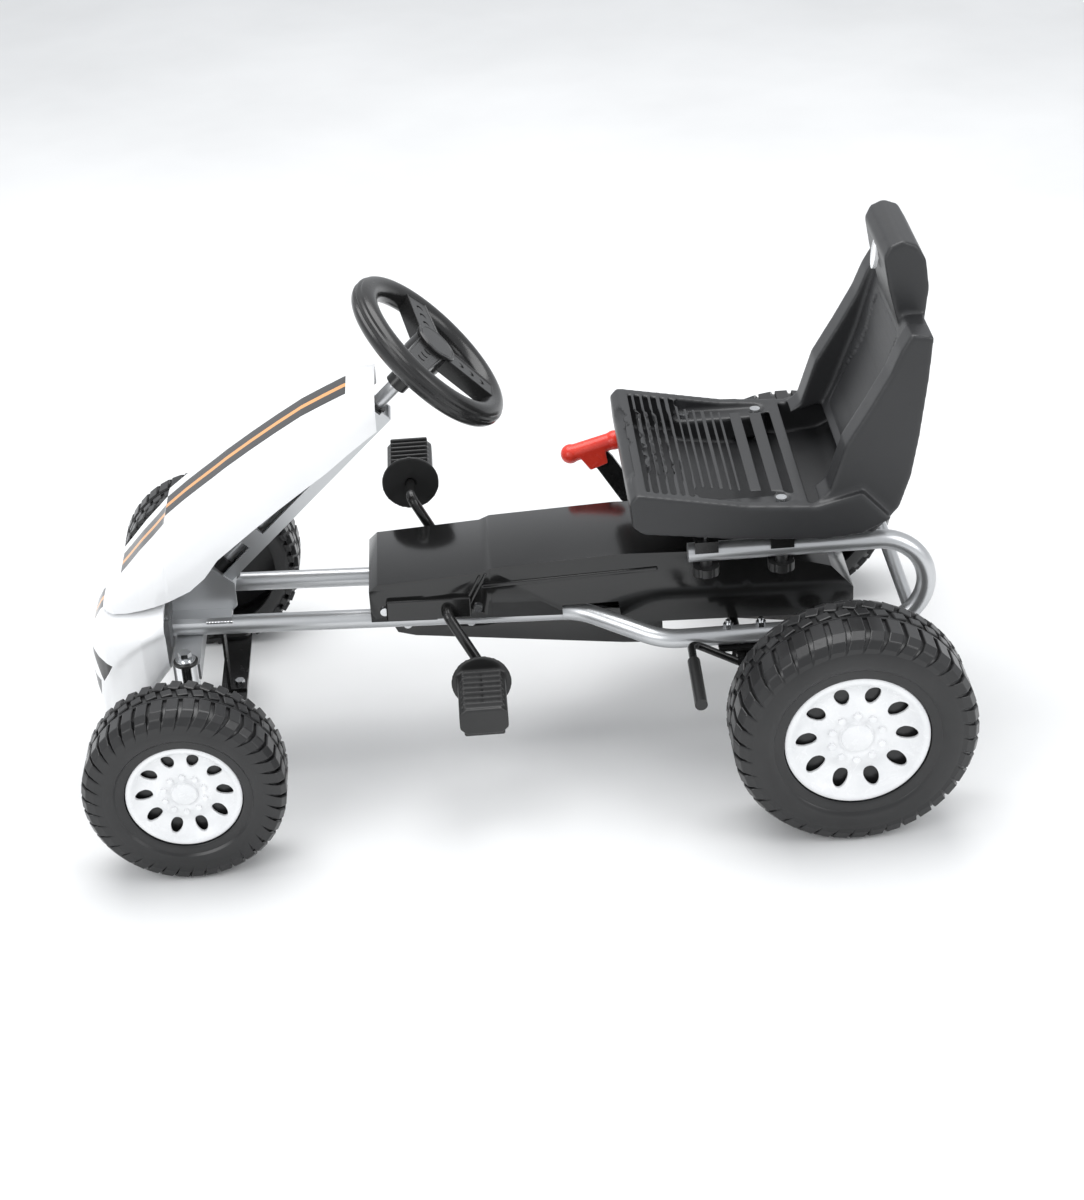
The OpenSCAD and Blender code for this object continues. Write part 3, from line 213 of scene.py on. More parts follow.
# %% [markdown]
# The studio: a wide floor with very faint clouding that runs far past the kart, a pale room
# and three softboxes. The largest hangs overhead, on the far side of the kart, so that top
# faces are brightest and the shadow falls softly towards the camera.

# %% Floor and light
def set_down(name):
    o = bpy.context.object
    o.name = name
    o.data.name = name
    return o


def deselect():
    bpy.ops.object.select_all(action="DESELECT")


deselect()
bpy.ops.mesh.primitive_plane_add(size=30, location=(0, 0, 0))
floor = set_down("floor")
floor.data.materials.append(finish("pale_floor", (0.76, 0.765, 0.765), (0.84, 0.845, 0.845),
                                   (0.5, 0.75), clouds=1.5, grain=40, depth=0.1, specular=0.2))
world = bpy.data.worlds.new("room")
bpy.context.scene.world = world
world.use_nodes = True
world.node_tree.nodes["Background"].inputs["Color"].default_value = (0.95, 0.97, 1.0, 1)
world.node_tree.nodes["Background"].inputs["Strength"].default_value = 0.75


def softbox(name, size, power, place, aim):
    lamp = bpy.data.lights.new(name, "AREA")
    lamp.shape = "RECTANGLE"
    lamp.size, lamp.size_y = size
    lamp.energy = power
    o = bpy.data.objects.new(name, lamp)
    o.location = place
    o.rotation_euler = (Vector(place) - Vector(aim)).to_track_quat("Z", "Y").to_euler()
    bpy.context.scene.collection.objects.link(o)


softbox("overhead", (2.6, 2.0), 62, (0.1, -0.6, 2.6), (0, 0, 0.2))
softbox("side", (1.6, 1.6), 26, (1.7, 1.9, 1.7), (0.1, 0, 0.25))
softbox("rear_side", (1.2, 1.8), 20, (-2.0, 1.3, 1.5), (-0.1, 0, 0.25))
print("lights ready")

# %% [markdown]
# Helpers for modelling by hand. A turned piece is a closed section that Spin carries once
# round an axis; its doubles are merged and its normals turned outwards. What repeats round
# a wheel is modelled once and copied, each copy with its own mesh, then all are joined.

# %% Modelling helpers
def edit(o):
    deselect()
    o.select_set(True)
    bpy.context.view_layer.objects.active = o
    bpy.ops.object.mode_set(mode="EDIT")


def leave():
    bpy.ops.object.mode_set(mode="OBJECT")


def tidy_mesh(o):
    edit(o)
    bpy.ops.mesh.select_all(action="SELECT")
    bpy.ops.mesh.remove_doubles(threshold=0.00002)
    bpy.ops.mesh.normals_make_consistent(inside=False)
    leave()
    return o


def smooth(o, angle=35):
    deselect()
    o.select_set(True)
    bpy.context.view_layer.objects.active = o
    bpy.ops.object.shade_smooth_by_angle(angle=math.radians(angle))
    return o


def new_piece(name, verts, edges):
    mesh = bpy.data.meshes.new(name)
    mesh.from_pydata(verts, edges, ())
    o = bpy.data.objects.new(name, mesh)
    bpy.context.scene.collection.objects.link(o)
    return o


def settle(o):
    o.data.transform(o.matrix_world)
    o.matrix_world = AT_ORIGIN
    return o


def turned(name, section, place, steps=96):
    """section: (radius, height) in mm round the Z axis of place, a closed loop."""
    verts = [(r / 1000, 0, h / 1000) for r, h in section]
    edges = [(i, (i + 1) % len(verts)) for i in range(len(verts))]
    o = new_piece(name, verts, edges)
    edit(o)
    bpy.ops.mesh.select_all(action="SELECT")
    bpy.ops.mesh.spin(steps=steps, angle=math.tau, center=(0, 0, 0), axis=(0, 0, 1))
    leave()
    tidy_mesh(o)
    o.data.transform(place)
    return o


def applied(o, kind, **settings):
    deselect()
    o.select_set(True)
    bpy.context.view_layer.objects.active = o
    mod = o.modifiers.new(kind.lower(), kind)
    for key, value in settings.items():
        setattr(mod, key, value)
    bpy.ops.object.modifier_apply(modifier=mod.name)
    return o


def joined(name, parts):
    deselect()
    for p in parts:
        p.select_set(True)
    bpy.context.view_layer.objects.active = parts[0]
    bpy.ops.object.join()
    return set_down(name)


def copy_of(o, name, matrix):
    c = o.copy()
    c.data = o.data.copy()
    c.name = c.data.name = name
    c.data.transform(matrix)
    bpy.context.scene.collection.objects.link(c)
    return c


def round_axis(o, count, name, phase=0.0):
    """Copies o evenly round the Z axis; phase turns the ring by a share of one step."""
    made = [copy_of(o, name, Matrix.Rotation(math.tau * (i + phase) / count, 4, "Z"))
            for i in range(count)]
    bpy.data.objects.remove(o)
    return joined(name, made)


def block(name, size, place, bevel):
    """size: in mm; bevel: in metres."""
    deselect()
    bpy.ops.mesh.primitive_cube_add(size=1, location=(0, 0, 0))
    o = set_down(name)
    o.data.transform(Matrix.Diagonal((*[s / 1000 for s in size], 1)))
    applied(o, "BEVEL", width=bevel, segments=2, limit_method="ANGLE")
    o.data.transform(place)
    return o


def painted(o, material):
    o.data.materials.clear()
    o.data.materials.append(material)
    return o


print("helpers ready")

# %% [markdown]
# The tyres are hollow plastic mouldings. The carcass is turned from its section: a dished
# seat for the hubcap, a step ring, a smooth wall, a round shoulder, a double rib round the
# middle of the tread and an open back. The tread's blocks are then set round it: one row
# of long blocks that run over the outer shoulder, and two rows of offset blocks behind.

# %% Tyres
LUGS = 40
LUG_HEIGHT = 4


def lug(name, r, w):
    """A long block that starts beside the middle rib and folds down over the shoulder."""
    deselect()
    bpy.ops.mesh.primitive_cube_add(size=1, location=(0, 0, 0))
    o = set_down(name)
    pitch = math.tau * r / LUGS
    length = w * 0.29
    o.data.transform(Matrix.Translation((r - LUG_HEIGHT / 2 - 0.5, 0, 4 + length / 2))
                     @ Matrix.Diagonal((LUG_HEIGHT + 1, pitch * 0.74, length, 1)))
    for rise, fall, skew in ((w * 0.11, -5.5, 2.2), (w * 0.035, -9, 3.2), (w * 0.004, -8, 3.0)):
        edit(o)
        bpy.ops.mesh.select_mode(type="FACE")
        bpy.ops.mesh.select_all(action="DESELECT")
        leave()
        far = max(o.data.polygons, key=lambda p: p.center.z)
        far.select = True
        edit(o)
        bpy.ops.mesh.extrude_region_move(TRANSFORM_OT_translate={"value": (fall, skew, rise)})
        leave()
    o.data.transform(Matrix.Scale(0.001, 4))
    applied(o, "BEVEL", width=0.0011, segments=2, limit_method="ANGLE")
    return o


def tyre(name, r, w, cap_r, hub_r, bore, place):
    """r, w: the tyre's radius and width; cap_r, hub_r, bore: radii of its seat, hub and bore."""
    h = w / 2
    web = h - 22
    wall = r - cap_r
    section = [
        (bore, web), (cap_r + 1, web), (cap_r + 1, h - 5), (cap_r + 2.5, h - 4),
        (cap_r + wall * 0.22, h - 3.6), (cap_r + wall * 0.27, h - 1.4),
        (cap_r + wall * 0.38, h - 0.4), (cap_r + wall * 0.52, h - 0.6),
        (r - wall * 0.36, h - 2.0), (r - wall * 0.24, h - 4.0), (r - 8, h - 8), (r - 4.2, h - 16),
        (r - 3.4, h - 24), (r - 3.4, 3.6), (r - 1.0, 3.2), (r - 1.0, 1.8), (r - 3.4, 1.4),
        (r - 3.4, 0.4), (r - 1.6, 0), (r - 1.6, -1.4), (r - 3.6, -1.8), (r - 3.6, -h + 22),
        (r - 5.0, -h + 14), (r - 9, -h + 8), (r - 15, -h + 3), (r - 20, -h + 0.3), (r - 30, -h),
        (r - 30, -h + 4), (r - 20, -h + 5), (r - 11, -h + 14), (r - 9, -h + 22),
        (r - 9, h - 24), (r - 14, h - 14), (r - 26, web - 5), (hub_r, web - 5),
        (hub_r, -h + 8), (bore, -h + 8)]
    carcass = smooth(turned(name + "_carcass", section, AT_ORIGIN, 120), 32)
    outer = round_axis(lug(name + "_lug", r, w), LUGS, name + "_outer")
    pitch = math.tau * r / LUGS
    rows = []
    both_rows = ((-9.5, 12, 0.5, 14), (-24.5, 15, 0.0, -16))
    for k, (middle, length, phase, turn) in enumerate(both_rows):
        if -middle + length / 2 > h - 2:
            length = 2 * (h - 4 + middle)
        one = block(name + "_block", (7, pitch * 0.70, length),
                    Matrix.Translation(((r - 4.0) / 1000, 0, middle / 1000))
                    @ Matrix.Rotation(math.radians(turn), 4, "X"), 0.0012)
        rows.append(round_axis(one, LUGS, name + "_row" + str(k), phase))
    edge = block(name + "_edge", (9, pitch * 0.6, w * 0.20),
                 Matrix.Translation(((r - 7.5) / 1000, 0, (-h + w * 0.14) / 1000))
                 @ Matrix.Rotation(math.radians(26), 4, "Y"), 0.0014)
    rows.append(round_axis(edge, LUGS, name + "_edges", 0.5))
    whole = joined(name, [carcass, outer] + rows)
    whole.data.transform(place)
    return painted(whole, tyre_plastic)


def wheel_place(x, y, z):
    return Matrix.Translation(kart(x, y, z)) @ Matrix.Rotation(math.radians(-90), 4, "X")


def other_side(x):
    about = Matrix.Translation(((x - AXLE_TO_MIDDLE) / 1000, 0, 0))
    return about @ Matrix.Rotation(math.pi, 4, "Z") @ about.inverted()


rear_place = wheel_place(0, REAR_WHEEL_Y, REAR_RADIUS)
front_place = wheel_place(WHEELBASE, FRONT_WHEEL_Y, FRONT_RADIUS)
rear_left = tyre("tyre_rear_left", REAR_RADIUS, REAR_WIDTH, REAR_CAP_RADIUS, 20, 8.2, rear_place)
front_left = tyre("tyre_front_left", FRONT_RADIUS, FRONT_WIDTH, FRONT_CAP_RADIUS, 16, 6.4,
                  front_place)
rear_right = copy_of(rear_left, "tyre_rear_right", other_side(0))
front_right = copy_of(front_left, "tyre_front_right", other_side(WHEELBASE))
for o, cad, body in ((rear_left, "rear_left_tyre", "rear_axle"),
                     (rear_right, "rear_right_tyre", "rear_axle"),
                     (front_left, "front_left_tyre", "front_left_wheel"),
                     (front_right, "front_right_tyre", "front_right_wheel")):
    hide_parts(cad)
    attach(o, body)
    print(o.name, "faces", len(o.data.polygons))

# %% [markdown]
# A hubcap is a white dish with a raised lip, ten oval holes, a ring of ten moulded nuts and
# a flat round boss. The dish is turned, the holes are cut with one oval bar copied round,
# and the nuts are six-sided blocks sunk into the dish.

# %% Hubcaps
CAP_HOLES = 10


def hubcap(name, c, h, place):
    """c: the cap's radius; h: half the tyre's width. The section is drawn for the front cap."""
    k = c / FRONT_CAP_RADIUS
    z = h - 6.5
    section = [
        (0, z - 4.0), (12 * k, z - 4.0), (13.2 * k, z - 4.6), (14.0 * k, z - 7.6),
        (15.4 * k, z - 8.4), (18 * k, z - 6.8), (27 * k, z - 6.4), (31 * k, z - 8.4),
        (36 * k, z - 10.6), (42 * k, z - 10.6), (49 * k, z - 8.0), (54 * k, z - 4.4),
        (56.6 * k, z - 1.0), (58.5 * k, z), (c - 1.5, z), (c - 0.3, z - 0.6), (c, z - 1.8),
        (c, h - 21.5), (c - 3, h - 21.5), (c - 3, z - 5), (54 * k, z - 8), (49 * k, z - 11.4),
        (42 * k, z - 13.6), (36 * k, z - 13.6), (30 * k, z - 11.6), (18 * k, z - 10), (0, z - 10)]
    dish = turned(name, section, AT_ORIGIN, 120)
    deselect()
    bpy.ops.mesh.primitive_cylinder_add(vertices=32, radius=1, depth=0.06)
    bar = set_down(name + "_hole")
    bar.data.transform(Matrix.Translation((43.5 * k / 1000, 0, (z - 5) / 1000))
                       @ Matrix.Diagonal((9.6 * k / 1000, 6.5 * k / 1000, 1, 1)))
    bars = round_axis(bar, CAP_HOLES, name + "_holes")
    applied(dish, "BOOLEAN", operation="DIFFERENCE", object=bars, solver="EXACT")
    bpy.data.objects.remove(bars)
    applied(dish, "BEVEL", width=0.0006, segments=2, limit_method="ANGLE",
            angle_limit=math.radians(50))
    deselect()
    bpy.ops.mesh.primitive_cylinder_add(vertices=6, radius=3.6 * k / 1000, depth=0.006)
    nut = set_down(name + "_nut")
    applied(nut, "BEVEL", width=0.0007, segments=2, limit_method="ANGLE")
    nut.data.transform(Matrix.Translation((22.6 * k / 1000, 0, (z - 6.2) / 1000)))
    nuts = round_axis(nut, CAP_HOLES, name + "_nuts", 0.5)
    whole = joined(name, [smooth(dish, 30), nuts])
    whole.data.transform(place)
    return painted(whole, cap_plastic)


cap_rear = hubcap("hubcap_rear_left", REAR_CAP_RADIUS, REAR_WIDTH / 2, rear_place)
cap_front = hubcap("hubcap_front_left", FRONT_CAP_RADIUS, FRONT_WIDTH / 2, front_place)
for o, cad, body in ((cap_rear, "rear_left_hubcap", "rear_axle"),
                     (copy_of(cap_rear, "hubcap_rear_right", other_side(0)),
                      "rear_right_hubcap", "rear_axle"),
                     (cap_front, "front_left_hubcap", "front_left_wheel"),
                     (copy_of(cap_front, "hubcap_front_right", other_side(WHEELBASE)),
                      "front_right_hubcap", "front_right_wheel")):
    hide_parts(cad)
    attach(o, body)
    print(o.name, "faces", len(o.data.polygons))

# %% [markdown]
# The steering wheel is one moulding: a fat round rim with a parting groove on its outer
# side, and three deep box spokes that widen towards a round hub. It is modelled flat on the
# column's own axes, where a spoke is a block turned about the hub, and is then carried to
# the column. Three small crescents are cut into the top of each spoke.

# %% Steering wheel
RIM_RADIUS, GRIP_RADIUS = 93, 14
SPOKE_ANGLES = (72, 180, 288)
COLUMN = Matrix.Translation(kart(430, 0, 487)) @ Matrix((
    (0.6947, 0, -0.7193), (0, 1, 0), (0.7193, 0, 0.6947))).to_4x4()
rim_section = []
for i in range(36):
    a = math.tau * i / 36
    reach = GRIP_RADIUS if i not in (0, 3) else 12.6
    rim_section.append((RIM_RADIUS + reach * math.cos(a), reach * math.sin(a)))
rim = smooth(turned("wheel_rim", rim_section, AT_ORIGIN, 128), 40)


def crescent(name):
    deselect()
    bpy.ops.mesh.primitive_cylinder_add(vertices=32, radius=0.0046, depth=0.004)
    moon = set_down(name)
    deselect()
    bpy.ops.mesh.primitive_cylinder_add(vertices=32, radius=0.0040, depth=0.008,
                                        location=(-0.0026, 0, 0))
    bite = settle(set_down(name + "_bite"))
    applied(moon, "BOOLEAN", operation="DIFFERENCE", object=bite, solver="EXACT")
    bpy.data.objects.remove(bite)
    return moon


def spoke(name):
    deselect()
    bpy.ops.mesh.primitive_cube_add(size=1, location=(0, 0, 0))
    o = set_down(name)
    o.data.transform(Matrix.Translation((0.051, 0, 0.003))
                     @ Matrix.Diagonal((0.070, 0.030, 0.018, 1)))
    for v in o.data.vertices:
        if v.co.x < 0.03:
            v.co.y *= 1.16
    edit(o)
    bpy.ops.mesh.select_mode(type="FACE")
    bpy.ops.mesh.select_all(action="DESELECT")
    leave()
    max(o.data.polygons, key=lambda p: p.normal.z).select = True
    edit(o)
    bpy.ops.mesh.inset(thickness=0.0016, depth=0)
    bpy.ops.mesh.inset(thickness=0.0006, depth=-0.0010)
    leave()
    applied(o, "BEVEL", width=0.0007, segments=2, limit_method="ANGLE")
    moon = crescent(name + "_crescent")
    for reach in (0.038, 0.053, 0.068):
        cut = copy_of(moon, name + "_cut", Matrix.Translation((reach, 0, 0.0115)))
        applied(o, "BOOLEAN", operation="DIFFERENCE", object=cut, solver="EXACT")
        bpy.data.objects.remove(cut)
    bpy.data.objects.remove(moon)
    return o


one = spoke("wheel_spoke")
spokes = [copy_of(one, "wheel_spoke_" + str(i), Matrix.Rotation(math.radians(a), 4, "Z"))
          for i, a in enumerate(SPOKE_ANGLES)]
bpy.data.objects.remove(one)
hub_section = [(8.2, 11), (22, 11), (24, 9), (24, -12), (20, -22), (8.2, -22)]
hub = smooth(turned("wheel_hub", hub_section, AT_ORIGIN, 64))
wheel = joined("steering_wheel_moulding", [rim, hub] + spokes)
wheel.data.transform(COLUMN)
painted(wheel, grip_plastic)
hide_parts("steering_wheel")
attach(wheel, "steering")
cap_section = [(0, 15), (21.5, 15), (22.2, 14.4), (23, 15), (25.2, 15), (26.4, 14),
               (26.4, 11.2), (24, 10.6), (0, 10.6)]
cap = smooth(turned("steering_cap", cap_section, COLUMN, 64))
painted(cap, grip_plastic)
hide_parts("wheel_cap")
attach(cap, "steering")
print("steering wheel faces", len(wheel.data.polygons))

# %% [markdown]
# The hood and the nose are thin glossy mouldings. Each is a grid wrapped round a row of
# arched sections, from the rear end forwards, and then given a wall. The hood steps down
# near its front, where its rear part overlaps the lower part like a scoop. A station is its
# x, half its width, its top and its bottom.

# %% Hood and nose
WALL = 0.003


def between(rows, x):
    for a, b in zip(rows, rows[1:]):
        if x <= b[0]:
            t = max(0.0, (x - a[0]) / (b[0] - a[0]))
            return [p + (q - p) * t for p, q in zip(a[1:], b[1:])]
    return rows[-1][1:]


def arch(half, top, bottom, t, crown, flank):
    a = math.pi * t
    c, s = math.cos(a), max(0.0, math.sin(a))
    return math.copysign(abs(c) ** flank * half, c), bottom + (top - bottom) * s ** crown


def wrapped(name, xs, count, section):
    deselect()
    bpy.ops.mesh.primitive_grid_add(x_subdivisions=len(xs) - 1, y_subdivisions=count, size=1)
    o = set_down(name)
    for v in o.data.vertices:
        i = round((v.co.x + 0.5) * (len(xs) - 1))
        y, z = section(xs[i], v.co.y + 0.5)
        v.co = kart(xs[i], y, z)
    return o


HOOD = [(492, 62, 459, 424), (508, 66, 458, 414), (526, 70, 453, 402), (550, 76, 442, 385),
        (575, 78, 430, 368), (605, 80, 412, 347), (635, 82, 393, 325), (665, 84, 373, 302),
        (680, 84, 362, 290), (697, 84, 350, 268), (715, 84, 337, 253), (739, 84, 318, 242),
        (741, 83.4, 309, 241), (755, 83, 294, 236), (772, 79, 277, 230), (790, 71, 257, 223),
        (808, 60, 238, 217), (817, 47, 225, 214), (822, 34, 216, 212)]
hood_x = sorted(set([h[0] for h in HOOD] + [492 + 6 * k for k in range(1, 55)]))


def hood_section(x, t):
    half, top, bottom = between(HOOD, x)
    return arch(half, top, bottom, t, 0.74, 0.50)


hood = wrapped("hood_shell", hood_x, 56, hood_section)
tidy_mesh(hood)
if sum(p.normal.z for p in hood.data.polygons) < 0:
    hood.data.flip_normals()
applied(hood, "SOLIDIFY", thickness=WALL, offset=-1, use_even_offset=True)
smooth(hood, 32)

NOSE = [(748, 100, 236, 146), (760, 104, 231, 132), (775, 105, 227, 112), (792, 102, 222, 84),
        (806, 97, 217, 71), (818, 90, 212, 66), (828, 79, 203, 63), (836, 66, 190, 66),
        (841, 50, 176, 74), (844.5, 34, 162, 84), (846, 20, 148, 96), (846.4, 6, 130, 110)]
nose_x = sorted(set([n[0] for n in NOSE] + [748 + 4 * k for k in range(1, 24)]
                    + [838.5, 843, 845.4]))
WHEEL_ARCH = 103


def nose_section(x, t):
    half, top, bottom = between(NOSE, x)
    a = math.tau * t - math.pi / 2
    c, s = math.cos(a), math.sin(a)
    y = math.copysign(abs(c) ** 0.5 * half, c)
    z = (top + bottom) / 2 + math.copysign(abs(s) ** 0.5 * (top - bottom) / 2, s)
    arch_in = max(0.0, min(1.0, (WHEEL_ARCH - math.hypot(x - WHEELBASE, z - 108)) / 6))
    return y * (1 - 0.05 * arch_in), z


nose = wrapped("nose_shell", nose_x, 112, nose_section)
tidy_mesh(nose)
applied(nose, "SOLIDIFY", thickness=WALL, offset=-1, use_even_offset=True)
smooth(nose, 40)
for o, cad in ((hood, "hood"), (nose, "nose")):
    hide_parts(cad)
    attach(o, "frame")
    print(o.name, "faces", len(o.data.polygons))

# %% [markdown]
# A dark band with an orange line runs along the middle of the hood and ends on the nose,
# with two dark patches at each side of it. They are film on the real kart, so they belong
# to the finish and not to the shape: the shader asks how far a point lies from the middle
# plane, and whether it is inside the band's length or a patch's edges.

# %% Bands and patches on the white plastic
BAND_HALF, LINE_HALF = 0.0230, 0.0044


def under(tree, value, limit):
    n = node(tree, "ShaderNodeMath", operation="LESS_THAN")
    n.inputs[1].default_value = limit
    tree.links.new(value, n.inputs[0])
    return n.outputs[0]


def over(tree, value, limit):
    n = node(tree, "ShaderNodeMath", operation="GREATER_THAN")
    n.inputs[1].default_value = limit
    tree.links.new(value, n.inputs[0])
    return n.outputs[0]


def pair(tree, kind, a, b):
    n = node(tree, "ShaderNodeMath", operation=kind)
    tree.links.new(a, n.inputs[0])
    tree.links.new(b, n.inputs[1])
    return n.outputs[0]


def slant(tree, xyz, ax, az, limit):
    """1 where ax * x + az * z is under the limit."""
    parts = []
    for socket, factor in (("X", ax), ("Z", az)):
        n = node(tree, "ShaderNodeMath", operation="MULTIPLY")
        n.inputs[1].default_value = factor
        tree.links.new(xyz.outputs[socket], n.inputs[0])
        parts.append(n.outputs[0])
    return under(tree, pair(tree, "ADD", *parts), limit)


def banded(name, lengths, low, patches=()):
    m = white_plastic.copy()
    m.name = name
    tree = m.node_tree
    shader = tree.nodes["Principled BSDF"]
    place, xyz = node(tree, "ShaderNodeTexCoord"), node(tree, "ShaderNodeSeparateXYZ")
    tree.links.new(place.outputs["Object"], xyz.inputs[0])
    off = node(tree, "ShaderNodeMath", operation="ABSOLUTE")
    tree.links.new(xyz.outputs["Y"], off.inputs[0])
    along = None
    for first, last in lengths:
        part = pair(tree, "MULTIPLY", over(tree, xyz.outputs["X"], kart(first, 0, 0).x),
                    under(tree, xyz.outputs["X"], kart(last, 0, 0).x))
        along = part if along is None else pair(tree, "MAXIMUM", along, part)
    along = pair(tree, "MULTIPLY", along, over(tree, xyz.outputs["Z"], low / 1000))
    dark = pair(tree, "MULTIPLY", along, under(tree, off.outputs[0], BAND_HALF))
    light = pair(tree, "MULTIPLY", along, under(tree, off.outputs[0], LINE_HALF))
    for patch in patches:
        inside = over(tree, off.outputs[0], 0.035)
        for a, b in zip(patch, patch[1:] + patch[:1]):
            pa, pb = kart(a[0], 0, a[1]), kart(b[0], 0, b[1])
            ax, az = pb.z - pa.z, pa.x - pb.x
            inside = pair(tree, "MULTIPLY", inside,
                          slant(tree, xyz, ax, az, ax * pa.x + az * pa.z))
        dark = pair(tree, "MAXIMUM", dark, inside)
    source = shader.inputs["Base Color"].links[0].from_socket
    for mask, colour in ((dark, (0.022, 0.021, 0.021, 1)), (light, (0.78, 0.36, 0.12, 1))):
        mix = node(tree, "ShaderNodeMix", data_type="RGBA")
        mix.inputs["B"].default_value = colour
        tree.links.new(mask, mix.inputs["Factor"])
        tree.links.new(source, mix.inputs["A"])
        source = mix.outputs["Result"]
    tree.links.new(source, shader.inputs["Base Color"])
    return m


painted(hood, banded("white_plastic_hood", ((524, 739.5), (741.5, 798)), 200))
nose_patches = ([(812, 168), (826, 142), (838, 176)], [(830, 140), (833, 118), (841, 146)])
painted(nose, banded("white_plastic_nose", ((815, 850),), 176, nose_patches))
print("bands on", hood.name, "and", nose.name)

# %% [markdown]
# The seat is one soft-edged blow moulding. Its measured solid has the right outline but
# sharp edges, so a merged copy of it is remeshed into an even skin and smoothed, which
# rounds every edge by a few millimetres. A shallow panel with wavy sides is then pressed
# into the front of the backrest.

# %% Soft mouldings
def merged(cad, name):
    o = copy_of(nodes[cad], name, AT_ORIGIN)
    o.parent = None
    o.matrix_world = AT_ORIGIN
    edit(o)
    bpy.ops.mesh.select_all(action="SELECT")
    bpy.ops.mesh.remove_doubles(threshold=0.00001)
    leave()
    return o


def outer_skin(o, name):
    """Keeps the largest of a piece's separate skins, and so fills its closed hollows."""
    edit(o)
    bpy.ops.mesh.select_all(action="SELECT")
    bpy.ops.mesh.separate(type="LOOSE")
    leave()
    skins = sorted(bpy.context.selected_objects, key=lambda p: -p.dimensions.length)
    for p in skins[1:]:
        bpy.data.objects.remove(p)
    skins[0].name = skins[0].data.name = name
    return skins[0]


def moulded(cad, name, voxel, rounds, extras=None):
    o = outer_skin(merged(cad, name), name)
    if extras:
        o = joined(name, [o] + extras)
    applied(o, "REMESH", mode="VOXEL", voxel_size=voxel / 1000)
    applied(o, "SMOOTH", factor=0.5, iterations=rounds)
    for p in o.data.polygons:
        p.use_smooth = True
    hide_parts(cad)
    return o


PANEL_LOW, PANEL_HIGH = 345, 500
seat = moulded("seat", "seat_shell", 1.9, 14)
applied(seat, "DECIMATE", ratio=0.4)
for v in seat.data.vertices:
    z = v.co.z * 1000
    if v.normal.x > 0.35 and PANEL_LOW < z < PANEL_HIGH:
        edge = 56 + (PANEL_HIGH - z) * 0.16 + 7 * math.sin((z - PANEL_LOW) / 22)
        t = max(0.0, min(1.0, (edge - abs(v.co.y) * 1000) / 7))
        t *= min(1.0, (z - PANEL_LOW) / 12, (PANEL_HIGH - z) / 12)
        v.co.x -= 0.006 * t * t * (3 - 2 * t)
painted(seat, seat_plastic)
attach(seat, "frame")
print("seat faces", len(seat.data.polygons))

# %% [markdown]
# A small white oval sits on the front of the headrest. It is a flat cylinder with an inset
# rim round a field that is pressed in a little, then squeezed to an oval and tilted.

# %% Plain oval badge on the headrest
deselect()
bpy.ops.mesh.primitive_cylinder_add(vertices=48, radius=1, depth=0.004)
badge = set_down("headrest_badge")
edit(badge)
bpy.ops.mesh.select_mode(type="FACE")
bpy.ops.mesh.select_all(action="DESELECT")
leave()
max(badge.data.polygons, key=lambda p: p.normal.z).select = True
edit(badge)
bpy.ops.mesh.inset(thickness=0.14, depth=0)
bpy.ops.mesh.inset(thickness=0.04, depth=-0.0006)
leave()
badge.data.transform(Matrix.Translation(kart(-61.5, 0, 566))
                     @ Matrix.Rotation(math.radians(83), 4, "Y")
                     @ Matrix.Diagonal((0.017, 0.012, 1, 1)))
smooth(painted(badge, white_plastic), 40)
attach(badge, "frame")
print("badge faces", len(badge.data.polygons))

# %% [markdown]
# The chain cover is a deep moulded box with rounded edges. Besides its measured solid it has
# a bulge over the crank, a slanted double rib at its step and a long ridge. They are
# bevelled blocks that sit against its sides. Ahead of the tubes' bend, what reaches lower
# than a tube's middle is lifted to 3 mm above it.

# %% Chain cover and guard
def stud(name, size, x, y, z, turn=0.0):
    return block(name, size, Matrix.Translation(kart(x, y, z))
                 @ Matrix.Rotation(math.radians(turn), 4, "Y"), 0.0015)


cover_extras = []
for side in (1, -1):
    cover_extras += [stud("bulge", (96, 9, 26), 452, side * 63, 197, -1),
                     stud("rib", (3, 4, 44), 402, side * 62.5, 215, -28),
                     stud("rib", (3, 4, 44), 395, side * 62.5, 217, -28),
                     stud("ridge", (200, 4, 5), 290, side * 62.5, 224, 2)]


def rounded_copy(cad, name, width):
    o = merged(cad, name)
    edit(o)
    bpy.ops.mesh.select_all(action="SELECT")
    bpy.ops.mesh.dissolve_limited(angle_limit=math.radians(2))
    leave()
    applied(o, "BEVEL", width=width, segments=3, limit_method="ANGLE",
            angle_limit=math.radians(28))
    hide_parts(cad)
    return smooth(o, 40)


cover = joined("chain_cover_shell", [rounded_copy("chain_cover", "cover_body", 0.0024)]
               + cover_extras)
for v in cover.data.vertices:
    tube_middle = 0.171 + (v.co.x - kart(280, 0, 0).x) * 0.03664
    if v.co.x > kart(300, 0, 0).x:
        v.co.z = max(v.co.z, tube_middle + 0.003)
guard = rounded_copy("chain_guard", "chain_guard_shell", 0.0012)
for o in (cover, guard):
    painted(o, cover_plastic)
    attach(o, "frame")
    print(o.name, "faces", len(o.data.polygons))

# %% [markdown]
# The frame's two long tubes are bent from one length each. A tube is a line of points with
# its corners turned into arcs, swept with a round section and made a mesh.

# %% Frame tubes
def rounded(points, radius, steps=10):
    out = [Vector(points[0])]
    for a, b, c in zip(points, points[1:], points[2:]):
        a, b, c = Vector(a), Vector(b), Vector(c)
        u, w = (a - b).normalized(), (c - b).normalized()
        half = math.acos(max(-1, min(1, u.dot(w)))) / 2
        run = min(radius / math.tan(half), (a - b).length * 0.49, (c - b).length * 0.49)
        p, q = b + u * run, b + w * run
        out += [(p * (1 - t) + b * t) * (1 - t) + (b * (1 - t) + q * t) * t
                for t in (i / steps for i in range(steps + 1))]
    out.append(Vector(points[-1]))
    return out


